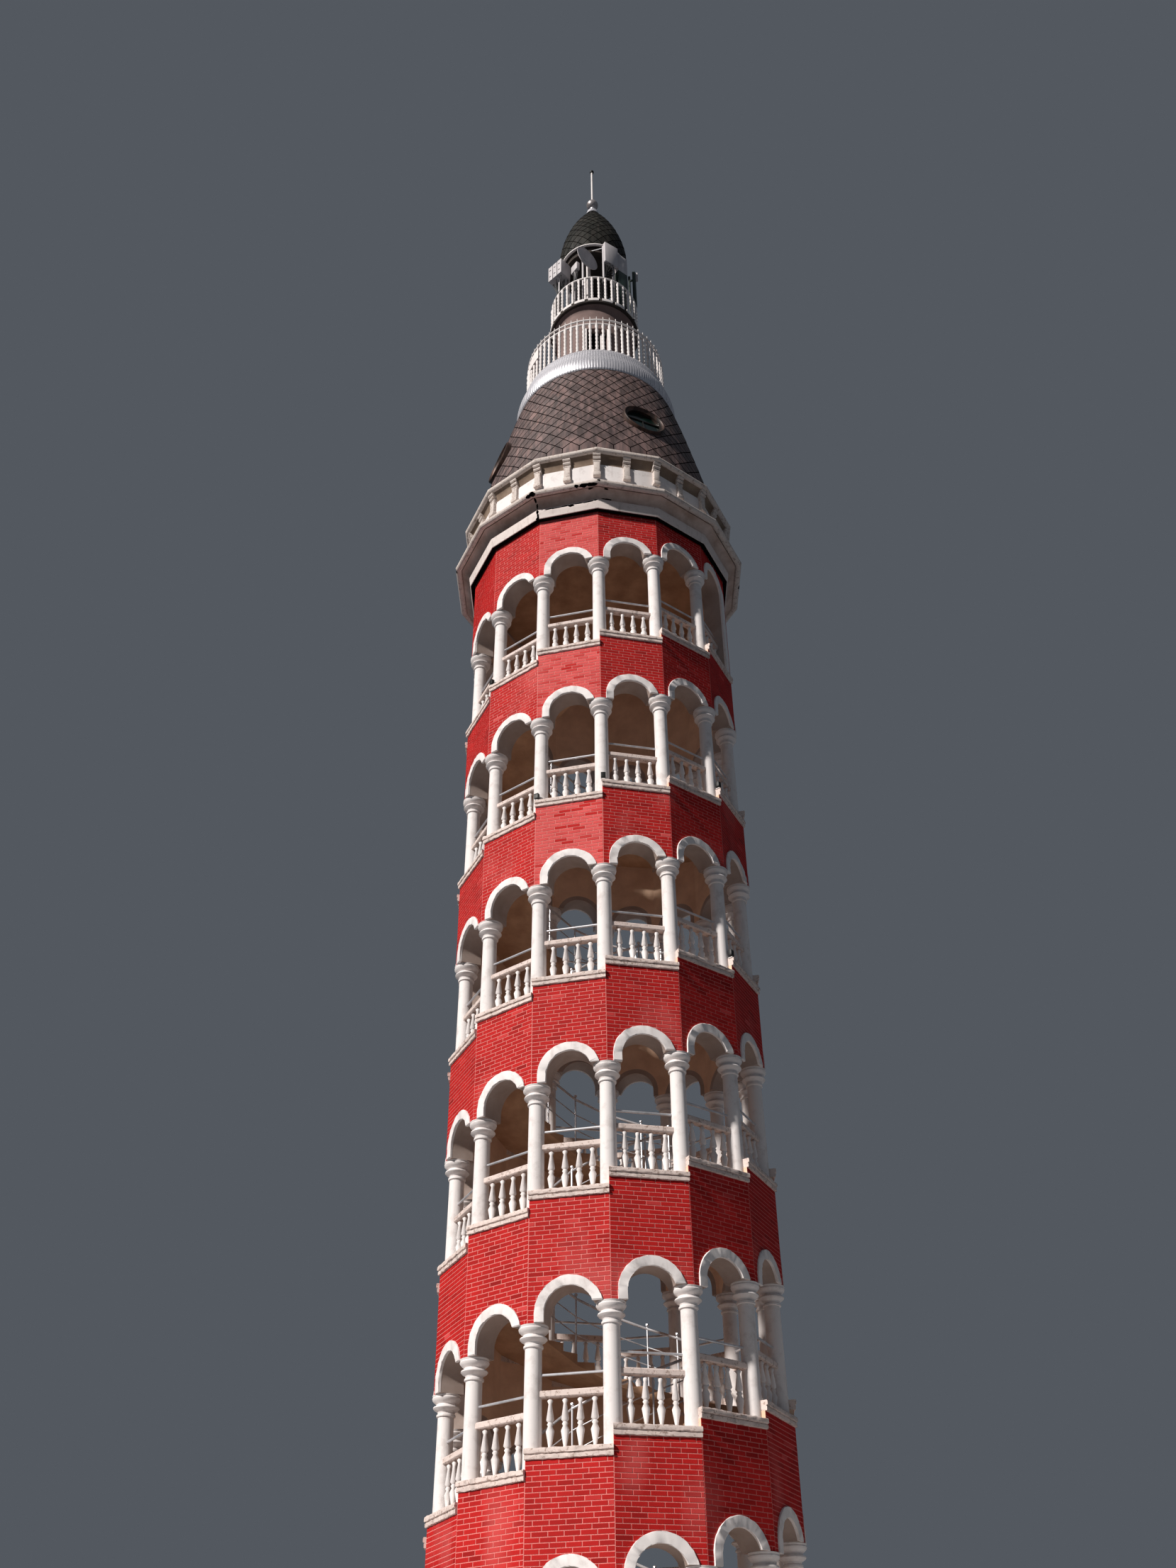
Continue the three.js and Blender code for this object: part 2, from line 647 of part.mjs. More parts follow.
// A bulging band that sits on the head of the dome and steps inwards under the balcony's floor
function metalRollProfile() {
  return [
    [METAL_ROLL_INSIDE, ROLL_SEAT],
    ...METAL_ROLL_PROFILE,
    [BALCONY_INSIDE, METAL_ROLL_TOP],
    [BALCONY_INSIDE, BALCONY_BOTTOM],
    [METAL_ROLL_INSIDE, BALCONY_BOTTOM],
    [METAL_ROLL_INSIDE, ROLL_SEAT],
  ];
}

function balustrade(radius, foot, posts, top, railHeight) {
  const half = BALUSTER_WIDTH / 2 + RAIL_OVERHANG;
  const pieces = [lathe(ringProfile(radius - half, radius + half, top - railHeight, top), posts)];
  for (let i = 0; i < posts; i += 1) {
    const angle = cornerAngle(0) + ((i + 0.5) * 2 * Math.PI) / posts;
    const [x, y] = polar(radius * Math.cos(Math.PI / posts), angle, 0);
    pieces.push(box(BALUSTER_WIDTH, BALUSTER_WIDTH, top - railHeight / 2 - foot, x, y, foot, angle));
  }
  return join(pieces);
}

addNode('metal_roll', lathe(metalRollProfile(), DOME_SIDES), 'sheet');
addNode('lower_balcony_floor', lathe([
  [0, BALCONY_BOTTOM],
  [BALCONY_INSIDE - SEAT_GAP, BALCONY_BOTTOM],
  [BALCONY_INSIDE - SEAT_GAP, BALCONY_TOP],
  [0, BALCONY_TOP],
], DOME_SIDES), 'concrete');
addNode('lower_balustrade', toGeometry(
  balustrade(LOWER_RAIL_RADIUS, METAL_ROLL_TOP + SEAT_GAP, LOWER_POSTS, LOWER_RAIL_TOP, LOWER_RAIL_HEIGHT),
), 'plaster');

// Drum with its doorway, upper balcony and lantern

function drum() {
  const wall = toSolid(lathe(
    ringProfile(DRUM_RADIUS - DRUM_WALL, DRUM_RADIUS, BALCONY_TOP + SEAT_GAP, UPPER_SLAB_BOTTOM - SEAT_GAP),
    DOME_SIDES,
  ));
  const foot = BALCONY_TOP - CUT_MARGIN;
  const doorway = box(
    DRUM_DOOR_WIDTH, 4 * DRUM_WALL, DRUM_DOOR_HEIGHT + CUT_MARGIN, DRUM_DOOR_ASIDE, -DRUM_RADIUS, foot,
  );
  return wall.subtract(toSolid(doorway));
}

addNode('drum', toGeometry(drum()), 'plaster');
addNode('upper_balcony_slab', lathe([
  [0, UPPER_SLAB_BOTTOM],
  [UPPER_SLAB_RADIUS - UPPER_SLAB_SPLAY, UPPER_SLAB_BOTTOM],
  [UPPER_SLAB_RADIUS, UPPER_SLAB_TOP - UPPER_SLAB_EDGE],
  [UPPER_SLAB_RADIUS, UPPER_SLAB_TOP],
  [0, UPPER_SLAB_TOP],
], DOME_SIDES), 'plaster');
addNode('upper_balustrade', toGeometry(
  balustrade(UPPER_RAIL_RADIUS, UPPER_SLAB_TOP + SEAT_GAP, UPPER_POSTS, UPPER_RAIL_TOP, UPPER_RAIL_HEIGHT),
), 'plaster');

function lanternFrame() {
  const foot = UPPER_SLAB_TOP + SEAT_GAP;
  const top = EAVE_BOTTOM - SEAT_GAP;
  const pieces = [
    lathe(ringProfile(LANTERN_INSIDE, LANTERN_OUTSIDE, foot, foot + LANTERN_PLINTH), LANTERN_SIDES),
    lathe(ringProfile(LANTERN_INSIDE, LANTERN_OUTSIDE, top - LANTERN_HEAD, top), LANTERN_SIDES),
  ];
  const { depth, width, circle } = LANTERN_POST;
  const first = cornerAngle(0) + THREE.MathUtils.degToRad(LANTERN_FIRST_POST);
  for (let i = 0; i < LANTERN_POSTS; i += 1) {
    const angle = first + (i * 2 * Math.PI) / LANTERN_POSTS;
    const [x, y] = polar(circle, angle, 0);
    pieces.push(box(depth, width, top - foot - CUT_MARGIN, x, y, foot + CUT_MARGIN / 2, angle));
  }
  return join(pieces);
}

addNode('lantern_frame', toGeometry(lanternFrame()), 'plaster');
addNode('lantern_eave', lathe([
  [0, EAVE_BOTTOM],
  [EAVE_RADIUS - EAVE_SPLAY, EAVE_BOTTOM],
  [EAVE_RADIUS, EAVE_BOTTOM + EAVE_SPLAY_HEIGHT],
  [EAVE_RADIUS, EAVE_TOP],
  [0, EAVE_TOP],
], EAVE_SIDES), 'plaster');

// Aerials, dish and cabinets

function faceOut({ turn }) {
  const angle = THREE.MathUtils.degToRad(turn);
  return [Math.sin(angle), -Math.cos(angle)];
}

function cabinetBox({ turn, x, y, width, depth, bottom, top }) {
  return box(width, depth, top - bottom, x, y, bottom, THREE.MathUtils.degToRad(turn));
}

function mast(x, y, top) {
  const foot = UPPER_SLAB_TOP + SEAT_GAP;
  return box(MAST_WIDTH, MAST_WIDTH, top - foot, x, y, foot);
}

function leftAerial() {
  const { count, gap } = LEFT_AERIAL_PANELS;
  const { narrower, shallower, shorter, behind } = LEFT_AERIAL_BACK;
  const pitch = LEFT_AERIAL.width / count;
  const angle = THREE.MathUtils.degToRad(LEFT_AERIAL.turn);
  const pieces = [mast(LEFT_AERIAL.x, LEFT_AERIAL.y, LEFT_AERIAL.bottom + MAST_HEAD)];
  const [outX, outY] = faceOut(LEFT_AERIAL);
  pieces.push(cabinetBox({
    ...LEFT_AERIAL,
    x: LEFT_AERIAL.x - behind * outX,
    y: LEFT_AERIAL.y - behind * outY,
    width: LEFT_AERIAL.width - narrower,
    depth: LEFT_AERIAL.depth - shallower,
    bottom: LEFT_AERIAL.bottom + shorter,
    top: LEFT_AERIAL.top - shorter,
  }));
  for (let i = 0; i < count; i += 1) {
    const aside = (i - (count - 1) / 2) * pitch;
    pieces.push(cabinetBox({
      ...LEFT_AERIAL,
      x: LEFT_AERIAL.x + aside * Math.cos(angle),
      y: LEFT_AERIAL.y + aside * Math.sin(angle),
      width: pitch - gap,
    }));
  }
  return join(pieces);
}

function rightAerial() {
  const angle = THREE.MathUtils.degToRad(RIGHT_AERIAL.turn);
  const [outX, outY] = faceOut(RIGHT_AERIAL);
  const pieces = [cabinetBox(RIGHT_AERIAL)];
  for (const aside of RIGHT_MASTS) {
    const x = RIGHT_AERIAL.x + aside * Math.cos(angle) - (RIGHT_AERIAL.depth / 2) * outX;
    const y = RIGHT_AERIAL.y + aside * Math.sin(angle) - (RIGHT_AERIAL.depth / 2) * outY;
    pieces.push(mast(x, y, RIGHT_AERIAL.top - MAST_HEAD));
  }
  return join(pieces);
}

function sideAerial() {
  const [outX, outY] = faceOut(SIDE_AERIAL);
  const angle = THREE.MathUtils.degToRad(SIDE_AERIAL.turn);
  const mastX = SIDE_AERIAL.x - SIDE_MAST_BEHIND * outX;
  const mastY = SIDE_AERIAL.y - SIDE_MAST_BEHIND * outY;
  const pieces = [cabinetBox(SIDE_AERIAL), mast(mastX, mastY, SIDE_AERIAL.top - MAST_HEAD)];
  const { width, length, height, heights } = SIDE_BRACKET;
  for (const z of heights) {
    const [x, y] = [(mastX + SIDE_AERIAL.x) / 2, (mastY + SIDE_AERIAL.y) / 2];
    pieces.push(box(width, length, height, x, y, z, angle));
  }
  return join(pieces);
}

// The dish is a shallow bowl whose back reaches the mast through a hub
function dish() {
  const rim = DISH.diameter / 2;
  const { radius, reach, sunk } = DISH_HUB;
  const bowl = lathe([
    [0, -DISH.depth],
    [rim * DISH.flat, -DISH.depth],
    [rim, -DISH.rim],
    [rim, 0],
    [0, -DISH.depth / 2],
  ], DISH_SIDES);
  const hub = lathe([
    [0, -reach],
    [radius, -reach],
    [radius, sunk - DISH.depth],
    [0, sunk - DISH.depth],
  ], DISH_SIDES / 2);
  const [outX, outY] = faceOut(DISH);
  const facing = new THREE.Quaternion().setFromUnitVectors(
    new THREE.Vector3(0, 0, 1), new THREE.Vector3(outX, outY, 0),
  );
  for (const piece of [bowl, hub]) {
    piece.applyQuaternion(facing);
    piece.translate(DISH.x, DISH.y, DISH.z);
  }
  return join([bowl, hub, mast(DISH.x - reach * outX, DISH.y - reach * outY, DISH.z + 2 * radius)]);
}

addNode('left_aerial', toGeometry(leftAerial()), 'antenna');
addNode('right_aerial', toGeometry(rightAerial()), 'antenna');
addNode('dish_aerial', toGeometry(dish()), 'antenna');
addNode('junction_box', toGeometry(join([
  cabinetBox(JUNCTION_BOX),
  mast(JUNCTION_BOX.x, JUNCTION_BOX.y, JUNCTION_BOX.bottom + MAST_HEAD),
])), 'antenna');
addNode('cabinet', cabinetBox(CABINET), 'greenSheet');
addNode('cabinet_head', cabinetBox({
  ...CABINET, bottom: CABINET.top + SEAT_GAP, top: CABINET_HEAD_TOP,
}), 'antenna');
addNode('side_aerial', toGeometry(sideAerial()), 'greenSheet');
const receiverReach = (SIDE_AERIAL.depth + SIDE_RECEIVER.depth) / 2 + SEAT_GAP;
addNode('side_receiver', cabinetBox({
  ...SIDE_RECEIVER,
  turn: SIDE_AERIAL.turn,
  x: SIDE_AERIAL.x + receiverReach * faceOut(SIDE_AERIAL)[0],
  y: SIDE_AERIAL.y + receiverReach * faceOut(SIDE_AERIAL)[1],
}), 'antenna');

// Small dome, cap, ball and rod

const domeTop = SMALL_DOME_PROFILE[SMALL_DOME_PROFILE.length - 1];
addNode('small_dome', lathe(
  [[0, SMALL_DOME_PROFILE[0][1]], ...SMALL_DOME_PROFILE, [0, domeTop[1]]],
  SMALL_DOME_SIDES,
), 'shingle');
addNode('dome_cap', lathe([
  [0, domeTop[1] + SEAT_GAP],
  [CAP_FOOT_RADIUS, domeTop[1] + SEAT_GAP],
  ...CAP_PROFILE,
  [0, CAP_TOP],
], FINIAL_SIDES), 'sheet');

function ballOnNeck() {
  const points = [[0, CAP_TOP + SEAT_GAP], [BALL_NECK_RADIUS, CAP_TOP + SEAT_GAP]];
  for (let i = 0; i <= BALL_SEGMENTS; i += 1) {
    const angle = BALL_FIRST + (i * (BALL_LAST - BALL_FIRST)) / BALL_SEGMENTS;
    points.push([BALL_RADIUS * Math.cos(angle), BALL_HEIGHT + BALL_RADIUS * Math.sin(angle)]);
  }
  points.push([0, points[points.length - 1][1]]);
  return points;
}

const ballProfile = ballOnNeck();
const ballTop = ballProfile[ballProfile.length - 1][1];
addNode('finial_ball', lathe(ballProfile, FINIAL_SIDES), 'steel');
addNode('finial_rod', lathe([
  [0, ballTop + SEAT_GAP],
  [ROD_RADIUS, ballTop + SEAT_GAP],
  [ROD_RADIUS, ROD_TOP],
  [0, ROD_TOP],
], ROD_SIDES), 'steel');

export default minaret;
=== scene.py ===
# Dresses the packed minaret: its bricks, white arcade, cornice, shingled domes, balconies,
# lantern and aerials. Metres, +Z up, the view of the photograph looks along +Y.
import math
import random
from collections import namedtuple

import bmesh
import bpy
from bpy.props import FloatProperty, FloatVectorProperty, IntProperty, PointerProperty
from mathutils import Matrix, Vector


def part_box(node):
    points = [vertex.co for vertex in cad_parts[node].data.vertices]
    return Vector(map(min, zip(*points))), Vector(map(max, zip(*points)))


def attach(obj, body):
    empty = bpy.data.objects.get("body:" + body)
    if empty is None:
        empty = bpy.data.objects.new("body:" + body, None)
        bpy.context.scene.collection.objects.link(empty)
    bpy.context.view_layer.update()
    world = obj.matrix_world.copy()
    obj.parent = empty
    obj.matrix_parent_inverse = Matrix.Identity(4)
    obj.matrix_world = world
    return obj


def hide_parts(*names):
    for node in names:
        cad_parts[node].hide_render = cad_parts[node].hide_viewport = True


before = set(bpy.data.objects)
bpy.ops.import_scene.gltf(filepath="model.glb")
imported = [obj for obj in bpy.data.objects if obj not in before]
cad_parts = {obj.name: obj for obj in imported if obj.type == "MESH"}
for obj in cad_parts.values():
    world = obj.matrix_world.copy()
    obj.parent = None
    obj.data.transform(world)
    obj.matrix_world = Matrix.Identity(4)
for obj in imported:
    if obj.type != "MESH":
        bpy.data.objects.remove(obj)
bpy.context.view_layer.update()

bl_info = {
    "name": "Helical minaret",
    "version": (1, 0, 0),
    "blender": (4, 5, 0),
    "location": "View3D > Sidebar > Minaret",
    "description": "Dresses a brick minaret with a helical arcade, domes, balconies and a lantern",
    "category": "Add Mesh",
}

BODY = "root"


def span(node):
    """The lowest and the highest z of a node of the frame."""
    return tuple(corner.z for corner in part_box(node))


# Plan of the shaft, as in the frame
SIDES = 14
SIDE_ANGLE = math.tau / SIDES
HALF_ANGLE = SIDE_ANGLE / 2
CORNER_RADIUS = 2.70
WALL_THICKNESS = 0.382
WALL_FACE = CORNER_RADIUS * math.cos(HALF_ANGLE)
WALL_INSIDE = WALL_FACE - WALL_THICKNESS
WALL_MIDDLE = WALL_FACE - WALL_THICKNESS / 2
COLUMN_CIRCLE = WALL_MIDDLE / math.cos(HALF_ANGLE)

# The helix: bay k spans corners k and k + 1, and corner 0 faces the front
BAY_RISE = 0.25
DOOR_BAY = -9
LAST_BAY = 72
TURNS = 6
GROUND_TOP = span("ground_slab")[1]
WALL_TOP = span("brick_band_6")[1]
SEAT = 0.0004

# Bricks: the bays drawn with paler bricks as painted sheen, for the sun's sheen on that side, the tone of
# their bricks, the tone of a middling brick, and a colour for pale patches
SHEEN_BAYS = (41, 55, 69)
SHEEN_TONE = 1.0
COMMON_TONE = 0.45
PALE_PATCH_BRICK = (0.72, 0.15, 0.14)

# One bay, from the underside of its sill. Shapes are (distance out from the wall, height)
SILL_HEIGHT = 0.14
SILL_SHAPE = (
    (0.022, 0.0), (0.030, 0.006), (0.032, 0.052), (0.020, 0.060), (0.022, 0.068), (0.044, 0.074),
    (0.046, 0.084), (0.045, 0.105), (0.044, 0.126), (0.034, 0.138),
)
RAIL_BOTTOM = 0.80
RAIL_SHAPE = ((-0.06, 0.0), (0.048, 0.0), (0.06, 0.012), (0.06, 0.074), (0.046, 0.09), (-0.06, 0.09))
TUBE_HEIGHT = 1.10
CAPITAL_TOP = 2.16
CAPITAL_GAIN = 0.08
ARCH_RADIUS = 0.36
ARCH_OUTER = 0.50
ARCH_PROUD = 0.025
ARCH_SEGMENTS = 24
BRICK_OPENING = 0.45
SHAFT_RADIUS = 0.132
CAPITAL_HEIGHT = 0.25
# Head of a column: (radius, height over its neck)
COLUMN_HEAD = (
    (0.119, -0.05), (0.141, -0.042), (0.141, -0.016), (0.121, 0.0), (0.133, 0.028), (0.176, 0.052),
    (0.196, 0.074), (0.190, 0.092), (0.152, 0.108), (0.148, 0.130), (0.186, 0.158), (0.210, 0.186),
    (0.214, 0.206), (0.204, 0.222), (0.206, 0.224), (0.212, 0.247), (0.0, 0.247),
)
# Baluster: (radius, share of its height)
BALUSTER = (
    (0.0, 0.0), (0.044, 0.0), (0.026, 0.08), (0.060, 0.36), (0.030, 0.455), (0.046, 0.49),
    (0.030, 0.525), (0.056, 0.57), (0.024, 0.88), (0.042, 0.94), (0.0, 1.0),
)
LAMP_CORNERS = (44, 55, 56, 58, 68)

# Stair rail: (height over the stair, radius) of each bar
WELL_RAIL_FACE = 1.30
WELL_BARS = ((0.91, 0.02), (0.62, 0.01), (0.34, 0.01))

# Cornice
CORNICE_INSIDE = 2.40
GAP_FACE = 2.712
GAP_EDGE = 2.795
FASCIA_BACK = 2.735
FASCIA_FACE = 2.81
FASCIA_TOP_FACE = 2.84
FASCIA_BOTTOM = 23.075
FASCIA_TOP = 23.30
ROLL_RADIUS = 0.07
ROLL_CIRCLE = 3.074
ROLL_HEIGHT = 23.53
# Broken places: bay, share of the bay from its left corner, distance from the axis, height, size
ROLL_CHIPS = (
    (-1, 0.02, 3.13, 23.49, 0.17, 0.12, 0.12), (-2, 0.95, 3.13, 23.47, 0.13, 0.12, 0.10),
    (-1, 0.69, 3.13, 23.475, 0.10, 0.11, 0.08), (-1, 0.80, 3.12, 23.465, 0.20, 0.13, 0.10),
    (-1, 0.92, 3.11, 23.455, 0.24, 0.13, 0.09), (0, 0.03, 3.15, 23.53, 0.07, 0.07, 0.07),
    (-4, 0.96, 3.14, 23.50, 0.12, 0.08, 0.12), (3, 0.50, 3.13, 23.50, 0.14, 0.08, 0.08),
    (6, 0.30, 3.13, 23.49, 0.16, 0.08, 0.08), (-7, 0.60, 3.13, 23.50, 0.12, 0.08, 0.08),
)
COVE_CHIPS = (
    (0, 0.14, 2.99, 23.455, 0.22, 0.07, 0.07), (0, 0.16, 2.85, 23.33, 0.24, 0.06, 0.05),
    (0, 0.79, 2.96, 23.44, 0.06, 0.06, 0.06), (1, 0.17, 2.96, 23.44, 0.12, 0.06, 0.04),
    (1, 0.70, 2.95, 23.43, 0.18, 0.06, 0.06), (1, 0.86, 2.93, 23.42, 0.16, 0.06, 0.07),
    (-1, 0.02, 2.97, 23.45, 0.06, 0.14, 0.12), (-1, 0.015, 2.88, 23.38, 0.05, 0.12, 0.12),
    (-1, 0.90, 2.99, 23.455, 0.18, 0.07, 0.06),
)
FASCIA_CRACKS = (
    (-1, 0.20, 2.848, 23.272, 0.24, 0.05, 0.035), (-1, 0.34, 2.846, 23.262, 0.26, 0.05, 0.030),
    (-1, 0.46, 2.846, 23.268, 0.22, 0.05, 0.045), (-1, 0.565, 2.846, 23.250, 0.16, 0.05, 0.075),
    (-1, 0.70, 2.846, 23.270, 0.28, 0.05, 0.034), (-1, 0.86, 2.848, 23.266, 0.28, 0.05, 0.045),
    (-1, 0.97, 2.846, 23.278, 0.12, 0.05, 0.04), (-1, 0.005, 2.83, 23.25, 0.06, 0.08, 0.16),
    (-1, 0.012, 2.82, 23.15, 0.045, 0.08, 0.13), (-1, 0.0, 2.81, 23.09, 0.09, 0.08, 0.07),
    (-4, 0.99, 2.82, 23.18, 0.03, 0.05, 0.16),
)
FRIEZE_INSIDE = 2.45
FRIEZE_FACE = 2.80
UPPER_ROLL_CIRCLE = 2.91
UPPER_ROLL_HEIGHT = 24.675
SOFFIT_BOTTOM = 24.38
BRACKET_WIDTH = 0.16
BRACKET_TOP = 24.63

# Main dome, from its foot up: (radius, height) on the outer face
DOME_FOOT, DOME_HEAD = span("main_dome")
DOME_PROFILE = (
    (2.72, DOME_FOOT), (2.64, 25.25), (2.515, 25.95), (2.34, 26.75), (2.15, 27.60), (1.945, 28.40),
    (1.868, DOME_HEAD),
)
DOME_SHELL = 0.08
FIRST_SHINGLE_ROW = 0.51
OCULUS_COUNT = 4
OCULUS_CORNER = 1
OCULUS_HEIGHT = 26.45
OCULUS_FACE = 2.406
OCULUS_LEAN = 12.3
OCULUS_RADIUS = 0.50
OCULUS_OPENING = 0.40
OCULUS_BACK = -0.24
OCULUS_FRONT = 0.06
CROSSBAR_HEIGHT = 0.06

# Balconies, drum and lantern
METAL_ROLL_FOOT, METAL_ROLL_HEAD = span("metal_roll")
METAL_ROLL_PROFILE = (
    (1.835, METAL_ROLL_FOOT), (1.862, 28.655), (1.880, 28.685), (1.892, 28.735), (1.899, 28.80),
    (1.898, 28.87), (1.889, 28.945), (1.872, 29.02), (1.843, 29.11), (1.806, 29.20), (1.787, 29.29),
    (1.764, 29.38), (1.742, 29.455), (1.716, 29.52), (1.692, 29.568), (1.664, METAL_ROLL_HEAD),
)
METAL_ROLL_INSIDE = 1.60
BALCONY_INSIDE = 1.40
RIB_HEIGHT = 0.004
LOWER_RAIL_CIRCLE = 1.65
LOWER_RAILS = (30.59, 30.745)
LOWER_FIRST_POST = 1.86
# Where the plain panel hangs on the lower railing, in degrees from the front
RAILING_PANEL = (-69.0, -54.0)
HAND_RAIL_RADIUS = 0.025
# Railing post and the spike on it: shares of its reach and height, and (radius, height)
SPINDLE = (
    (0.0, 0.0), (0.9, 0.0), (0.9, 0.05), (0.6, 0.09), (0.95, 0.16), (0.62, 0.23), (0.9, 0.30),
    (0.6, 0.37), (0.85, 0.44), (0.6, 0.51), (0.9, 0.58), (0.6, 0.65), (0.95, 0.73), (0.62, 0.82),
    (1.0, 0.90), (0.7, 1.0), (0.0, 1.0),
)
SPIKE = ((0, 0), (0.017, 0), (0.014, 0.16), (0.009, 0.24), (0.012, 0.25), (0.003, 0.28), (0, 0.28))
DRUM_RADIUS = 0.95
DRUM_INSIDE = 0.80
DRUM_DOOR = (-0.22, 0.34)
DRUM_DOOR_TOP = 31.37
SLAB_RADIUS = 1.135
SLAB_BLOCK = 0.27
FIRST_SLAB_BLOCK = -7.45
UPPER_RAIL_CIRCLE = 1.08
UPPER_RAIL = 33.245
UPPER_FIRST_POST = -2.25
LANTERN_INSIDE = 0.65
LANTERN_OUTSIDE = 0.77
LANTERN_POSTS = 6
LANTERN_FIRST_POST = -10.6
LANTERN_POST_CIRCLE = 0.71
EAVE_RADIUS = 0.88

# Aerials and cabinets on the upper balcony: the turn of each face from the front in degrees,
# its centre and its size, with its masts (x, y, top) and the heights of its brackets
BALCONY_FLOOR = span("upper_balcony_slab")[1]
Unit = namedtuple("Unit", "turn x y width depth bottom top masts brackets", defaults=((), ()))
LEFT_AERIAL = Unit(-42.5, -0.887, -0.451, 0.48, 0.35, 34.03, 34.61)
RIGHT_AERIAL = Unit(
    33.7, 0.446, -0.868, 0.40, 0.10, 34.06, 34.87, ((0.260, -0.932, 34.77), (0.502, -0.771, 34.77))
)
JUNCTION_BOX = Unit(-53, -0.464, -0.770, 0.25, 0.10, 33.935, 34.225, ((-0.464, -0.770, 34.0),))
CABINET = Unit(38, 0.715, -0.552, 0.30, 0.15, BALCONY_FLOOR + SEAT, 34.10)
CABINET_HEAD = CABINET._replace(bottom=34.1004, top=34.80)
SIDE_AERIAL = Unit(
    80, 1.060, -0.190, 0.16, 0.08, 33.30, 34.65, ((0.932, -0.167, 34.55),), (33.525, 34.375)
)
SIDE_RECEIVER = Unit(80, 1.129, -0.202, 0.07, 0.06, 34.33, 34.64)
# Piece, node, unit, and its finish
BOXES = (
    ("sector_aerial", "right_aerial", RIGHT_AERIAL, "aerial"),
    ("cable_box", "junction_box", JUNCTION_BOX, "aerial"),
    ("equipment_cabinet", "cabinet", CABINET, "green_sheet"),
    ("cabinet_top", "cabinet_head", CABINET_HEAD, "aerial"),
    ("panel_side_aerial", "side_aerial", SIDE_AERIAL, "green_sheet"),
    ("small_receiver", "side_receiver", SIDE_RECEIVER, "aerial"),
)
# Unit, its number of cables, and the place of the mast they are strapped to
CABLE_RUNS = (
    (LEFT_AERIAL, 12, -0.887, -0.451), (JUNCTION_BOX, 6, -0.464, -0.770),
    (RIGHT_AERIAL, 7, 0.260, -0.932), (CABINET_HEAD, 3, 0.502, -0.771),
)
STRAPS = (33.15, 32.70)
# The bundle on a mast: where its cables come in, its radius and theirs
BUNDLE_TOP = (33.25, 33.55)
BUNDLE_RADIUS = 0.047
CABLE_RADIUS = 0.011
DISH_TURN = math.radians(45)
DISH_PLACE = (-0.147, -1.0, 34.19)
DISH_RADIUS = 0.35
DISH_DEPTH = 0.09

# Small dome and finial
SMALL_DOME_HEAD = span("small_dome")[1]
SMALL_DOME_PROFILE = (
    (0.868, span("lantern_eave")[0] + 0.061), (0.893, 35.35), (0.86, 35.75), (0.76, 36.20),
    (0.60, 36.70), (0.40, 37.15), (0.17, SMALL_DOME_HEAD),
)
BALL_HEIGHT = 38.12
BALL_RADIUS = 0.16
# Dark ball on top of the rod: (radius, depth under the top)
FINIAL_TIP = (
    (0, 0.095), (0.035, 0.095), (0.054, 0.075), (0.058, 0.05), (0.054, 0.022), (0.036, 0.004), (0, 0)
)

# The photograph's camera
CAMERA_PLACE = (0.0, -23.07, 1.466)
CAMERA_LENS = 33.27
CAMERA_PITCH = 0.6293
CAMERA_YAW = -0.01216
CAMERA_ROLL = -0.01002


# Places


def shift(x, y, z):
    return Matrix.Translation((x, y, z))


def about_z(angle):
    return Matrix.Rotation(angle, 4, "Z")


def around(count, first):
    """Turns to this many places round the axis, the first one in degrees from the front."""
    return [about_z(math.radians(first) + math.tau * i / count) for i in range(count)]


def corner_turn(corner):
    """Turns a shape made at the front, on corner 0, to a corner or to a place between two."""
    return about_z(corner * SIDE_ANGLE)


def bay_turn(bay):
    return corner_turn(bay + 0.5)


def half_width(face):
    """Half the length of a side whose face lies at this distance from the axis."""
    return face * math.tan(HALF_ANGLE)


def sill_height(bay):
    return BAY_RISE * (bay - DOOR_BAY)


def capital_height(corner):
    turns_above = (max(corner, SIDES) - 3 * SIDES) / SIDES
    return sill_height(corner - 1) + CAPITAL_TOP + CAPITAL_GAIN * turns_above


def arch_height(bay):
    """Height of the centre of a bay's arch: the mean of its two capitals."""
    return (capital_height(bay) + capital_height(bay + 1)) / 2


def bays_of_turn(turn):
    first = DOOR_BAY + SIDES * turn
    return range(first, min(first + SIDES, LAST_BAY + 1))


# Mesh work


def turned(profile, steps, first=0.0, angle=math.tau):
    """Spins a profile of (radius, height) about Z. It is closed unless it starts on the axis."""
    part = bmesh.new()
    start = about_z(first)
    verts = [part.verts.new(start @ Vector((0, -radius, height))) for radius, height in profile]
    whole = angle > math.tau - 1e-6
    if whole:
        geometry = verts + [part.edges.new(pair) for pair in zip(verts, verts[1:])]
        if profile[0][0] > 0:
            geometry.append(part.edges.new((verts[-1], verts[0])))
    else:
        face = part.faces.new(verts)
        geometry = verts + list(face.edges) + [face]
    bmesh.ops.spin(
        part, geom=geometry, cent=(0, 0, 0), axis=(0, 0, 1), angle=angle, steps=steps, use_merge=whole
    )
    bmesh.ops.remove_doubles(part, verts=part.verts, dist=1e-5)
    return part


def verts_in(result):
    return [item for item in result["geom"] if isinstance(item, bmesh.types.BMVert)]


def rounded(part, edges, radius):
    """Rounds these edges of a part."""
    bmesh.ops.bevel(
        part, geom=edges, offset=radius, affect="EDGES", segments=2, profile=0.5, material=-1
    )


def block(size, place, radius):
    """A box with its middle at place and rounded edges."""
    part = bmesh.new()
    bmesh.ops.create_cube(part, size=1.0, matrix=shift(*place) @ Matrix.Diagonal((*size, 1.0)))
    rounded(part, part.edges[:], radius)
    return part


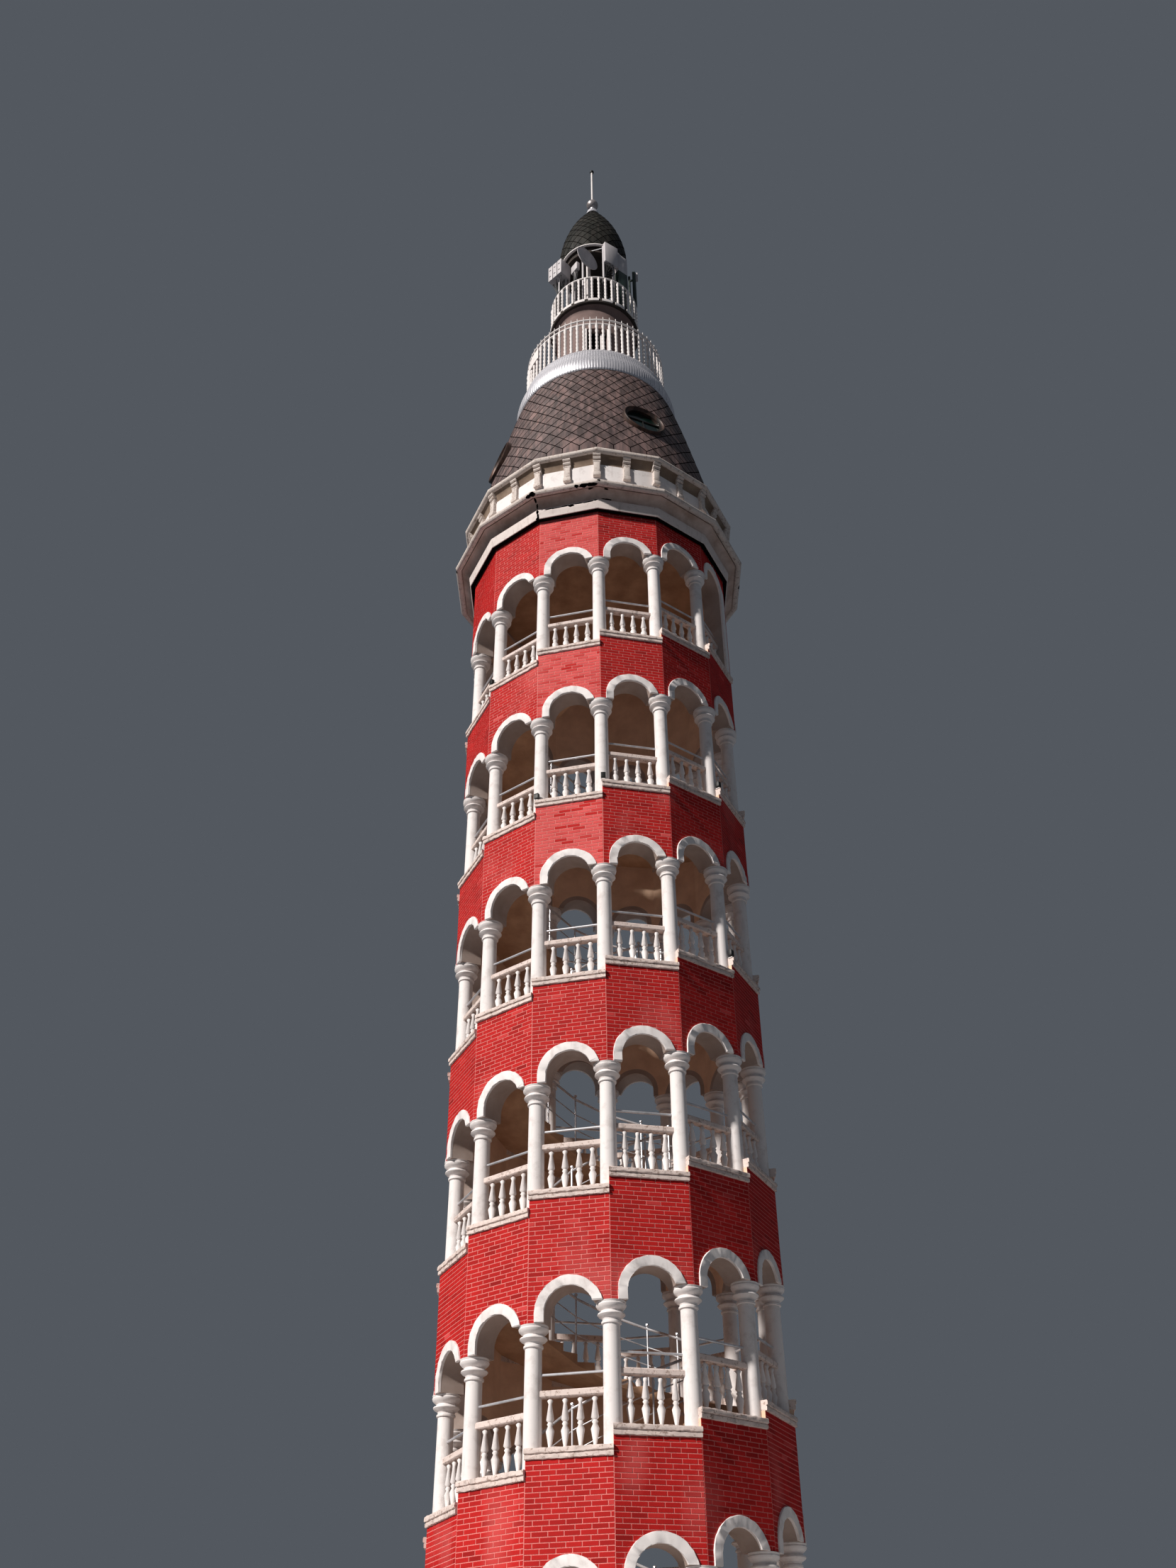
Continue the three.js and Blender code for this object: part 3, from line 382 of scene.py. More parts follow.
def tube(start, end, radius, sides=8):
    """A closed straight bar between two points."""
    part = bmesh.new()
    start, end = Vector(start), Vector(end)
    way = end - start
    turn = way.to_track_quat("Z", "Y").to_matrix().to_4x4()
    bmesh.ops.create_cone(
        part, cap_ends=True, segments=sides, radius1=radius, radius2=radius, depth=way.length,
        matrix=shift(*((start + end) / 2)) @ turn,
    )
    return part


def ball(radius, place, fineness=1):
    part = bmesh.new()
    bmesh.ops.create_icosphere(part, subdivisions=fineness, radius=radius, matrix=shift(*place))
    return part


def band(inner, outer, low, high):
    """Profile of a plain ring, or of a disc when inner is 0."""
    return [(inner, low), (outer, low), (outer, high), (inner, high)]


def ring_profile(radius, height, reach, segments):
    """A circle of this reach round a point of (radius, height)."""
    turns = [math.tau * i / segments for i in range(segments)]
    return [(radius + reach * math.cos(a), height + reach * math.sin(a)) for a in turns]


def coated(part, index=1):
    """Gives every face of a part one of its piece's finishes, by its number."""
    for face in part.faces:
        face.material_index = index
    return part


def to_mesh(bm, name):
    mesh = bpy.data.meshes.new(name)
    bm.to_mesh(mesh)
    bm.free()
    return mesh


def stamp(bm, mesh, matrix):
    """Adds a copy of a mesh, moved by a matrix."""
    moved = mesh.copy()
    moved.transform(matrix)
    bm.from_mesh(moved)
    bpy.data.meshes.remove(moved)


def add_part(bm, part, matrix=None):
    """Moves a finished part into a piece, with its faces outwards."""
    bmesh.ops.recalc_face_normals(part, faces=part.faces)
    if matrix:
        bmesh.ops.transform(part, matrix=matrix, verts=part.verts)
    mesh = to_mesh(part, "part")
    bm.from_mesh(mesh)
    bpy.data.meshes.remove(mesh)


def link(name, data):
    """A new object in the scene."""
    made = bpy.data.objects.new(name, data)
    bpy.context.scene.collection.objects.link(made)
    return made


def finish_piece(bm, name, finishes, node=None, angle=35.0):
    """Makes the object, with its place in its mesh, and fixes it to the frame. Its finishes are
    named with spaces between them, and edges sharper than the angle are kept crisp."""
    limit = math.radians(angle)
    for face in bm.faces:
        face.smooth = True
    for edge in bm.edges:
        edge.smooth = edge.calc_face_angle(0.0) < limit
    piece = link(name, to_mesh(bm, name))
    for coat in finishes.split():
        piece.data.materials.append(finish(coat))
    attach(piece, BODY)
    if node:
        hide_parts(node)
    return piece


def make_piece(name, finishes, parts, node=None, angle=35.0):
    """Makes a piece of parts, each a shape or a shape with its place."""
    bm = bmesh.new()
    for part in parts:
        add_part(bm, *(part if isinstance(part, tuple) else (part,)))
    return finish_piece(bm, name, finishes, node, angle)


def lathe(name, finishes, profile, steps, node=None, angle=35.0):
    """Makes a piece of one profile spun about Z; with the shaft's number of sides, a moulding."""
    return make_piece(name, finishes, [turned(profile, steps)], node, angle)


def new_cutter(part, coat):
    """A shape to cut with; its coat is left on the cut."""
    bmesh.ops.recalc_face_normals(part, faces=part.faces)
    cutter = link("cutter", to_mesh(part, "cutter"))
    cutter.data.materials.append(finish(coat))
    return cutter


def cut_away(piece, cutters):
    """Cuts the cutters out of a piece for good."""
    before = len(piece.data.vertices)
    for cutter in cutters:
        modifier = piece.modifiers.new("cut", "BOOLEAN")
        modifier.object = cutter
        modifier.operation = "DIFFERENCE"
        modifier.solver = "EXACT"
        modifier.material_mode = "TRANSFER"
    bpy.context.view_layer.update()
    graph = bpy.context.evaluated_depsgraph_get()
    mesh = bpy.data.meshes.new_from_object(piece.evaluated_get(graph))
    if len(mesh.vertices) == before:
        raise RuntimeError(f"nothing was cut out of {piece.name}")
    piece.modifiers.clear()
    old, piece.data = piece.data, mesh
    bpy.data.meshes.remove(old)
    for cutter in cutters:
        bpy.data.objects.remove(cutter)


# Finishes


def shade(colour, factor):
    return tuple(factor * channel for channel in colour)


class Finish:
    """A material in the making. What feeds a socket is a source: a node and its output."""

    def __init__(self, name, roughness, metallic=0.0, gloss=0.5):
        self.material = bpy.data.materials.new(name)
        self.material.use_nodes = True
        self.tree = self.material.node_tree
        self.shader = self.tree.nodes["Principled BSDF"]
        self.shader.inputs["Roughness"].default_value = roughness
        self.shader.inputs["Metallic"].default_value = metallic
        self.shader.inputs["Specular IOR Level"].default_value = gloss

    def feed(self, node, socket, value):
        """Gives a socket its source, colour or number."""
        if isinstance(value, tuple) and isinstance(value[0], bpy.types.Node):
            self.tree.links.new(value[0].outputs[value[1]], node.inputs[socket])
        else:
            node.inputs[socket].default_value = value

    def node(self, kind, **values):
        """A node with its settings; names with a capital are its sockets."""
        made = self.tree.nodes.new("ShaderNode" + kind)
        for key, value in values.items():
            if key[0].isupper():
                self.feed(made, key.replace("_", " "), value)
            else:
                setattr(made, key, value)
        return made

    def tone(self):
        """The tone that each brick or shingle has of its own."""
        return self.node("Attribute", attribute_name="tone"), "Fac"

    def noise(self, scale, detail=4.0, roughness=0.55, stretch=(1.0, 1.0, 1.0)):
        """Noise on Object coordinates, stretched."""
        place = self.node("TexCoord"), "Object"
        mapping = self.node("Mapping", Scale=stretch, Vector=place), "Vector"
        made = self.node("TexNoise", Scale=scale, Detail=detail, Roughness=roughness, Vector=mapping)
        return made, "Fac"

    def ramp(self, source, *stops):
        """A colour ramp of (position, colour) stops; one number is a grey."""
        made = self.node("ValToRGB", Fac=source)
        elements = made.color_ramp.elements
        while len(elements) < len(stops):
            elements.new(0.5)
        for element, (position, colour) in zip(elements, stops):
            element.position = position
            element.color = (*(colour if isinstance(colour, tuple) else (colour,) * 3), 1.0)
        return made, "Color"

    def mix(self, mode, factor, first, second):
        """Mixes two sources, or a source and a colour."""
        made = self.node("Mix", data_type="RGBA", blend_type=mode)
        self.feed(made, 0, factor)
        self.feed(made, 6, first)
        self.feed(made, 7, second if len(second) == 2 else (*second, 1.0))
        return made, 2

    def done(self, colour, rough=None, bump=None):
        """Joins the colour, the roughness (source, low, high) and the bump (source, strength,
        distance) to the shader."""
        self.feed(self.shader, "Base Color", colour)
        if rough:
            spread = self.node("MapRange", Value=rough[0], To_Min=rough[1], To_Max=rough[2])
            self.feed(self.shader, "Roughness", (spread, "Result"))
        if bump:
            relief = self.node("Bump", Height=bump[0], Strength=bump[1], Distance=bump[2])
            self.feed(self.shader, "Normal", (relief, "Normal"))
        return self.material


def brick_finish(name):
    """Fired clay: each brick has its own tone, with a fine grain and a pale bloom in patches."""
    settings = bpy.context.scene.minaret_brick
    made = Finish(name, 0.85, 0.0, 0.15)
    clay, pale = tuple(settings.colour), tuple(settings.light_colour)
    tones = (0.0, shade(clay, 0.62)), (0.38, clay), (0.72, shade(clay, 1.12)), (1.0, pale)
    grain = made.noise(90.0, 5.0)
    speckle = made.ramp(grain, (0.3, (0.80, 0.78, 0.78)), (0.7, 1.08))
    mottled = made.mix("MULTIPLY", 0.8, made.ramp(made.tone(), *tones), speckle)
    bloom = made.ramp(made.noise(1.6, 3.0), (0.40, (0.86, 0.84, 0.84)), (0.72, (1.10, 1.12, 1.12)))
    weathered = made.mix("MULTIPLY", 0.8, mottled, bloom)
    # Paler patches at random places, mixed towards a pale red.
    pale_patches = made.ramp(made.noise(1.0, 2.0, stretch=(0.9, 0.9, 0.55)), (0.55, 0.0), (0.70, 0.35))
    patched = made.mix("MIX", pale_patches, weathered, PALE_PATCH_BRICK)
    return made.done(patched, (grain, 0.62, 0.9), (grain, 0.35, 0.002))


def joint_finish(name):
    made = Finish(name, 0.95)
    grain = made.noise(60.0)
    pale = tuple(bpy.context.scene.minaret_brick.joint_colour)
    return made.done(made.ramp(grain, (0.3, shade(pale, 0.6)), (0.62, pale)), bump=(grain, 0.4, 0.003))


def plaster_finish(name, stain=1.0, tint=(1.0, 1.0, 1.0)):
    """White paint on render: faint grey runs, brown bloom and small chips."""
    settings = bpy.context.scene.minaret_plaster
    made = Finish(name, 0.7, 0.0, 0.35)
    grey = tuple(settings.stain)
    white = tuple(w * t for w, t in zip(settings.white, tint))
    pale_grey = tuple((2 * w + g) / 3 for w, g in zip(white, grey))
    aged = made.ramp(made.noise(5.0, 6.0, 0.65), (0.34, pale_grey), (0.48, white), (1.0, white))
    runs = made.ramp(made.noise(1.0, 5.0, 0.6, (9.0, 9.0, 1.2)), (0.58, 0.0), (0.80, 0.5 * stain))
    streaked = made.mix("MIX", runs, aged, grey)
    low = 0.70 - 0.05 * stain
    chips = made.ramp(made.noise(16.0, 8.0, 0.8), (low, 0.0), (low + 0.05, 0.7))
    chipped = made.mix("MIX", chips, streaked, tuple(settings.rust))
    grain = made.noise(70.0, 3.0)
    return made.done(chipped, (grain, 0.55, 0.85), (grain, 0.25, 0.002))


def render_finish(name, light, dark, roughness=0.9, scale=2.5, gloss=0.3):
    """Bare render or concrete in two tones."""
    made = Finish(name, roughness, 0.0, gloss)
    grain = made.noise(60.0)
    colour = made.ramp(made.noise(scale, 6.0, 0.6), (0.32, dark), (0.7, light))
    rough = (grain, roughness - 0.12, min(1.0, roughness + 0.08))
    return made.done(colour, rough, (grain, 0.3, 0.003))


def metal_finish(name, light, dark, roughness, metallic, streak=(3.0, 3.0, 0.5)):
    """Sheet or tube: long streaks of tone, with roughness that follows them."""
    made = Finish(name, roughness, metallic)
    runs = made.noise(2.0, 5.0, 0.6, streak)
    rough = (runs, min(1.0, roughness + 0.15), max(0.05, roughness - 0.1))
    colour = made.ramp(runs, (0.35, dark), (0.68, light))
    return made.done(colour, rough, (made.noise(45.0, 3.0), 0.12, 0.001))


def shingle_finish(name, base, rusty, gloss):
    """Weathered sheet shingles: a tone for each, with rain streaks and drips down the dome."""
    settings = bpy.context.scene.minaret_metal
    base, rusty = tuple(getattr(settings, base)), tuple(getattr(settings, rusty))
    made = Finish(name, 0.6, 0.0, gloss)
    by_piece = made.ramp(made.tone(), (0.0, shade(base, 0.62)), (0.5, base), (1.0, shade(base, 1.45)))
    streaks = made.noise(1.4, 6.0, 0.62, (9.0, 9.0, 0.55))
    streaked = made.mix("MIX", made.ramp(streaks, (0.5, 0.0), (0.7, 0.55)), by_piece, rusty)
    drips = made.noise(1.0, 3.0, 0.5, (11.0, 11.0, 0.45))
    drip = made.ramp(drips, (0.36, 0.62), (0.50, 1.0), (0.64, (1.6, 1.5, 1.48)))
    patch = made.noise(1.3)
    wash = made.ramp(patch, (0.35, (0.8, 0.8, 0.82)), (0.7, (1.15, 1.12, 1.1)))
    washed = made.mix("MULTIPLY", 0.8, made.mix("MULTIPLY", 1.0, streaked, drip), wash)
    return made.done(washed, (streaks, 0.5, 0.75), (patch, 0.15, 0.01))


def glass_finish(name, light, dark):
    made = Finish(name, 0.12, 0.0, 0.6)
    return made.done(made.ramp(made.noise(4.0), (0.3, dark), (0.7, light)))


# Finish: its maker, and what the maker is given
FINISHES = {
    "brick": (brick_finish, "Red brick"),
    "joint": (joint_finish, "Pink mortar"),
    "plaster": (plaster_finish, "White render"),
    "worn_plaster": (plaster_finish, "Worn render", 3.2, (0.88, 0.78, 0.73)),
    "stained_plaster": (plaster_finish, "Stained render", 3.0, (0.80, 0.75, 0.70)),
    # The fascia's runs and chips are stains; its darker tint is painted shade, for the bays away from the
    # sun.
    "fascia": (plaster_finish, "Fascia render", 2.0, (0.90, 0.84, 0.81)),
    "paint": (plaster_finish, "White paint", 0.6),
    # Painted shade: the arch linings are browner and darker than the white arches, for the shade under the
    # arches.
    "lining": (render_finish, "Arch lining", (0.46, 0.37, 0.33), (0.34, 0.26, 0.22)),
    # Painted light: the inner and stair render are warmer and lighter for the warm light bounced from the
    # red bricks into the stair.
    "plain_plaster": (render_finish, "Inner render", (0.86, 0.61, 0.44), (0.68, 0.45, 0.31)),
    "soffit": (render_finish, "Stair render", (0.66, 0.42, 0.27), (0.44, 0.26, 0.16)),
    # Painted shade: the cove's render is browner and darker than the white fascia and roll, for the shade
    # under the lower roll.
    "cove": (render_finish, "Cove render", (0.66, 0.52, 0.46), (0.38, 0.27, 0.22)),
    # Painted shade: the frieze's soffit is dark brown for the shade under the upper roll; the frieze wall
    # under it stays white.
    "frieze": (render_finish, "Frieze render", (0.32, 0.24, 0.18), (0.17, 0.115, 0.08)),
    "drum": (render_finish, "Drum render", (0.25, 0.175, 0.16), (0.17, 0.115, 0.105)),
    "concrete": (render_finish, "Concrete", (0.34, 0.31, 0.28), (0.21, 0.19, 0.17)),
    # Painted shade: near-black brown for undersides and the lantern's inside, which lie in shade.
    "dark_soffit": (render_finish, "Dark soffit", (0.055, 0.042, 0.036), (0.022, 0.017, 0.014)),
    "cable": (render_finish, "Black sheath", (0.02, 0.02, 0.02), (0.008, 0.008, 0.008), 0.5),
    "floor": (render_finish, "Pale floor", (0.62, 0.61, 0.60), (0.56, 0.55, 0.54), 0.85, 0.4),
    # Painted shade: the faces of chips and cracks are near black for the shade inside them; the breaks
    # themselves are real damage.
    "broken": (
        render_finish, "Broken render", (0.012, 0.008, 0.007), (0.004, 0.003, 0.003), 0.95, 30.0, 0.0
    ),
    # Painted shade: a near-black colour for gaps, slots and undersides that lie in shade.
    "shadow": (render_finish, "Dark gap", (0.008, 0.006, 0.006), (0.003, 0.003, 0.003), 0.95, 2.5, 0.0),
    # Painted shade: the seams between shingles are near black for the shade under the shingles' proud
    # edges.
    "seam": (render_finish, "Shingle seams", (0.006, 0.004, 0.004), (0.002, 0.002, 0.002), 0.95, 2.5, 0.0),
    "steel": (metal_finish, "Steel tube", (0.80, 0.79, 0.82), (0.5, 0.5, 0.52), 0.3, 0.6),
    "dark_steel": (metal_finish, "Dark steel", (0.2, 0.19, 0.18), (0.08, 0.07, 0.065), 0.3, 1.0),
    "copper": (metal_finish, "Dull copper", (0.12, 0.062, 0.044), (0.016, 0.012, 0.011), 0.45, 0.6),
    "sheet": (metal_finish, "Zinc sheet", (0.90, 0.87, 0.90), (0.42, 0.42, 0.46), 0.42, 0.6, (30, 30, 0.6)),
    "polished": (
        metal_finish, "Polished steel", (0.62, 0.56, 0.55), (0.30, 0.26, 0.25), 0.3, 0.7, (8, 8, 0.6)
    ),
    "aerial": (metal_finish, "Grey housing", (0.62, 0.58, 0.59), (0.47, 0.44, 0.45), 0.5, 0.0),
    "green_sheet": (metal_finish, "Green sheet", (0.02, 0.045, 0.035), (0.008, 0.018, 0.014), 0.5, 0.1),
    "shingle": (shingle_finish, "Dome shingles", "shingle", "streak", 0.35),
    "dark_shingle": (shingle_finish, "Small dome shingles", "small_shingle", "small_streak", 0.12),
    "glass": (glass_finish, "Dark glass", (0.004, 0.016, 0.012), (0.001, 0.006, 0.005)),
}
MADE = {}


def finish(name):
    """The finish of this name, made when it is first asked for."""
    if name not in MADE:
        maker, *given = FINISHES[name]
        MADE[name] = maker(*given)
    return MADE[name]


# Brickwork


def arc(radius, spring, first, last, segments):
    """Points of an arch seen from the front, anticlockwise between two angles."""
    turns = [first + (last - first) * i / segments for i in range(segments + 1)]
    return [(radius * math.cos(a), spring + radius * math.sin(a)) for a in turns]


def band_outline(bay, radius, half):
    """Outline of the wall over one arch, with the pier beside the door or beside the last arch."""
    spring = arch_height(bay)
    left_foot = GROUND_TOP if bay == DOOR_BAY else capital_height(bay)
    top = sill_height(bay + SIDES) if bay + SIDES <= LAST_BAY else WALL_TOP
    if bay == LAST_BAY:
        sill = sill_height(bay) + SILL_HEIGHT
        right, rightmost = [(half, top), (half, sill), (radius, sill)], 0.0
    else:
        right_foot = capital_height(bay + 1)
        right, rightmost = [(half, top), (half, right_foot)], math.asin((right_foot - spring) / radius)
    left = [(-radius, left_foot), (-half, left_foot), (-half, top)]
    return right + arc(radius, spring, rightmost, math.pi, ARCH_SEGMENTS) + left


def face_geometry(faces):
    verts = {vert for face in faces for vert in face.verts}
    edges = {edge for face in faces for edge in face.edges}
    return list(faces) + list(edges) + list(verts)


def cut_faces(bm, faces, point, normal):
    """Cuts these faces by a plane and gives them back, the ones behind it first."""
    result = bmesh.ops.bisect_plane(
        bm, geom=face_geometry(faces), dist=1e-5, plane_co=point, plane_no=normal
    )
    behind, before = [], []
    for face in (item for item in result["geom"] if isinstance(item, bmesh.types.BMFace)):
        side = (face.calc_center_median() - Vector(point)).dot(Vector(normal))
        (behind if side < 0 else before).append(face)
    return behind, before


def lay_courses(bm, faces, settings, draw):
    """Cuts the outer face of a wall into courses and the courses into bricks."""
    heights = [vert.co.z for face in faces for vert in face.verts]
    top = max(heights)
    half = half_width(WALL_FACE)
    bricks, rest = [], faces
    for course in range(math.floor((top - min(heights)) / settings.course), -1, -1):
        height = top - course * settings.course
        row, rest = cut_faces(bm, rest, (0, -WALL_FACE, height), (0, 0, 1)) if course else (rest, [])
        if not row:
            continue
        joint = -half + settings.brick * (0.5 * (course % 2) + draw.uniform(-0.12, 0.12))
        while joint < half - 0.03:
            if joint > -half + 0.03:
                done, row = cut_faces(bm, row, (joint, -WALL_FACE, height), (1, 0, 0))
                bricks += done
            joint += settings.brick * draw.choice((1.0, 1.0, 1.0, 0.97, 1.03))
        bricks += row
    return bricks


def is_square(face):
    """Whether every corner of a brick is a right angle or straight."""
    angles = [loop.calc_angle() for loop in face.loops]
    return all(abs(angle - math.pi / 2) < 0.05 or angle > 3.1 for angle in angles)


def shrink(bm, bricks, thickness, depth):
    """Insets bricks, evenly where they are whole and gently where an arch cuts them."""
    whole = [face for face in bricks if is_square(face)]
    cut = [face for face in bricks if not is_square(face)]
    bmesh.ops.inset_individual(bm, faces=whole, thickness=thickness, depth=depth, use_even_offset=True)
    bmesh.ops.inset_individual(bm, faces=cut, thickness=thickness, depth=depth)


def wall_panel(outline, settings, draw, middle=COMMON_TONE):
    """One bay of wall at the front: bricks outside, render inside, mitred at both corners."""
    bm = bmesh.new()
    tone = bm.faces.layers.float.new("tone")
    face_at = WALL_FACE - settings.joint_depth
    half = max(x for x, _ in outline)
    face = bm.faces.new([bm.verts.new((x, -face_at, z)) for x, z in outline])
    inner = verts_in(bmesh.ops.extrude_face_region(bm, geom=[face]))
    bmesh.ops.translate(bm, vec=(0, face_at - WALL_INSIDE, 0), verts=inner)
    for vert in inner:
        if abs(abs(vert.co.x) - half) < 1e-4:
            vert.co.x = math.copysign(half_width(WALL_INSIDE), vert.co.x)
    bmesh.ops.recalc_face_normals(bm, faces=bm.faces)
    coated(bm, 2)
    outer = [face for face in bm.faces if all(abs(v.co.y + face_at) < 1e-5 for v in face.verts)]
    bricks = [face for face in lay_courses(bm, outer, settings, draw) if face.calc_area() > 4e-4]
    for face in bricks:
        face.material_index = 1
    shrink(bm, bricks, settings.joint_width / 2, 0.0)
    for face in bricks:
        face.material_index = 0
        face[tone] = min(1.0, max(0.0, draw.gauss(middle, settings.tone_spread)))
    shrink(bm, bricks, 0.0015, settings.joint_depth)
    return to_mesh(bm, "panel")


def merge_panels(name, panels, node):
    """Joins the bays of one turn into one piece."""
    bm = bmesh.new()
    for bay, mesh in panels:
        stamp(bm, mesh, bay_turn(bay))
        bpy.data.meshes.remove(mesh)
    finish_piece(bm, name, "brick joint plain_plaster", node, angle=50.0)


def build_brickwork(settings):
    draw = random.Random(settings.seed)
    half = half_width(WALL_FACE - settings.joint_depth)
    ground = []
    for bay in bays_of_turn(0)[1:]:
        top = sill_height(bay)
        outline = [(-half, GROUND_TOP), (half, GROUND_TOP), (half, top), (-half, top)]
        ground.append((bay, wall_panel(outline, settings, draw)))
    merge_panels("ground_brickwork", ground, "ground_wall")
    for turn in range(TURNS):
        panels = []
        for bay in bays_of_turn(turn):
            # Painted sheen: a few bays on the front-left side get paler bricks for the sun's sheen there.
            middle = SHEEN_TONE if bay in SHEEN_BAYS else COMMON_TONE
            outline = band_outline(bay, BRICK_OPENING, half)
            panels.append((bay, wall_panel(outline, settings, draw, middle)))
        merge_panels(f"brickwork_{turn + 1}", panels, f"brick_band_{turn + 1}")


# Archivolts


def arch_band(bm, bay, inner, outer, front, back):
    """A curved band over one arch, with its left leg on the lower capital, at the front."""
    right_foot, spring = capital_height(bay + 1), arch_height(bay)
    left_foot = GROUND_TOP if bay == DOOR_BAY else capital_height(bay)
    whole = bay == LAST_BAY
    first = 0.0 if whole else math.asin((right_foot - spring) / outer)
    ends = [
        bm.verts.new((radius * math.cos(first), front, spring + radius * math.sin(first)))
        for radius in (inner, outer)
    ]
    edge = bm.edges.new(ends)
    spun = bmesh.ops.spin(
        bm, geom=ends + [edge], cent=(0, front, spring), axis=(0, -1, 0),
        angle=math.pi - first, steps=ARCH_SEGMENTS,
    )
    last = [item for item in spun["geom_last"] if isinstance(item, bmesh.types.BMEdge)]
    leg = verts_in(bmesh.ops.extrude_edge_only(bm, edges=last))
    bmesh.ops.translate(bm, vec=(0, 0, left_foot - spring), verts=leg)
    if whole:
        edges = [e for e in bm.edges if all(abs(v.co.z - spring) < 1e-5 and v.co.x > 0 for v in e.verts)]
        foot = verts_in(bmesh.ops.extrude_edge_only(bm, edges=edges))
        bmesh.ops.translate(bm, vec=(0, 0, sill_height(bay) + SILL_HEIGHT - spring), verts=foot)
    else:
        right = [face for face in bm.faces if face.calc_center_median().x > 0]
        bmesh.ops.bisect_plane(
            bm, geom=face_geometry(right), dist=1e-5, plane_co=(0, front, right_foot),
            plane_no=(0, 0, 1), clear_inner=True,
        )
    pushed = verts_in(bmesh.ops.extrude_face_region(bm, geom=list(bm.faces)))
    bmesh.ops.translate(bm, vec=(0, back - front, 0), verts=pushed)


def roughen(bm, draw, amount, keep):
    """Moves each vertex a little, as on hand-laid render; keep says which ones stay."""
    for vert in bm.verts:
        if not keep(vert):
            vert.co += Vector([draw.uniform(-amount, amount) for _ in range(3)])


def build_archivolts():
    draw = random.Random(11)
    for turn in range(TURNS):
        parts = []
        for bay in bays_of_turn(turn):
            face, lining = bmesh.new(), bmesh.new()
            front = -WALL_FACE - ARCH_PROUD
            arch_band(face, bay, ARCH_RADIUS, ARCH_OUTER, front, -WALL_FACE + 0.02)
            rounded(face, [
                edge for edge in face.edges
                if all(abs(v.co.y - front) < 1e-6 for v in edge.verts) and edge.calc_face_angle(0.0) > 1.0
            ], 0.008)
            roughen(face, draw, 0.005, lambda v: v.co.y > -WALL_FACE)
            # The lining under each arch takes the darker lining finish: painted shade.
            hidden, back = BRICK_OPENING + 0.02, -WALL_INSIDE - 0.002
            arch_band(lining, bay, ARCH_RADIUS + 0.002, hidden, -WALL_FACE + 0.01, back)
            parts += [(face, bay_turn(bay)), (coated(lining), bay_turn(bay))]
        make_piece(f"archivolts_{turn + 1}", "plaster lining", parts)


# Columns, sills and rails


def column(corner):
    """A column with its capital, its foot in the sill or on the ground."""
    foot = GROUND_TOP if corner - 1 == DOOR_BAY else sill_height(corner - 1) + SILL_HEIGHT / 2
    neck = capital_height(corner) - CAPITAL_HEIGHT
    head = [(radius, neck + height) for radius, height in COLUMN_HEAD]
    shape = turned([(0.0, foot), (SHAFT_RADIUS, foot), *head], 20)
    return shape, corner_turn(corner) @ shift(0, -COLUMN_CIRCLE, 0)


def bay_sweep(profile, cuts):
    """Pushes a closed profile of (distance from the axis, height) along a side, mitred at both ends."""
    part = bmesh.new()
    face = part.faces.new([part.verts.new((-half_width(w), -w, z)) for w, z in profile])
    for vert in verts_in(bmesh.ops.extrude_face_region(part, geom=[face])):
        vert.co.x = -vert.co.x
    long_edges = [e for e in part.edges if abs(e.verts[0].co.x - e.verts[1].co.x) > 0.5]
    bmesh.ops.subdivide_edges(part, edges=long_edges, cuts=cuts)
    return part


def stays(vert):
    """Whether a vertex of a sill or a rail lies on a mitre or inside the wall face."""
    return abs(abs(vert.co.x) - half_width(-vert.co.y)) < 1e-4 or -vert.co.y < WALL_FACE


def sill_and_rail(bay, draw):
    """The sill of a bay, a little uneven, and the rail over its balusters."""
    sill = sill_height(bay)
    rail = sill + RAIL_BOTTOM
    below = [(WALL_INSIDE, sill), *((WALL_FACE + out, sill + z) for out, z in SILL_SHAPE)]
    above = [(WALL_MIDDLE + out, rail + z) for out, z in RAIL_SHAPE]
    parts = []
    for profile, cuts, rough in (
        (below + [(WALL_INSIDE, sill + SILL_HEIGHT)], 26, 0.005), (above, 6, 0.0018),
    ):
        part = bay_sweep(profile, cuts)
        roughen(part, draw, rough, stays)
        parts.append((part, bay_turn(bay)))
    return parts


def build_arcades(settings):
    height = RAIL_BOTTOM - SILL_HEIGHT + 0.004
    shape = bmesh.new()
    add_part(shape, turned([(r, share * height) for r, share in BALUSTER], 8))
    baluster = to_mesh(shape, "baluster")
    draw = random.Random(5)
    reach = half_width(WALL_MIDDLE) - SHAFT_RADIUS + 0.02
    for turn in range(TURNS):
        number = turn + 1
        shafts = [column(bay + 1) for bay in bays_of_turn(turn) if bay != LAST_BAY]
        bands, posts, tubes = [], bmesh.new(), []
        for bay in (b for b in bays_of_turn(turn) if b != DOOR_BAY):
            sill = sill_height(bay)
            bands += sill_and_rail(bay, draw)
            for i in range(settings.balusters):
                aside = (i - (settings.balusters - 1) / 2) * settings.baluster_spacing
                place = shift(aside + draw.uniform(-0.006, 0.006), -WALL_MIDDLE, sill + SILL_HEIGHT - 0.002)
                stamp(posts, baluster, bay_turn(bay) @ place)
            ends = [(x, -WALL_MIDDLE, sill + TUBE_HEIGHT) for x in (-reach, reach)]
            tubes.append((tube(*ends, settings.tube_radius, 10), bay_turn(bay)))
        make_piece(f"columns_{number}", "plaster", shafts, f"arcade_{number}")
        make_piece(f"sills_and_rails_{number}", "worn_plaster", bands)
        finish_piece(posts, f"balusters_{number}", "plaster", angle=70.0)
        make_piece(f"guard_tubes_{number}", "steel", tubes)
    bpy.data.meshes.remove(baluster)


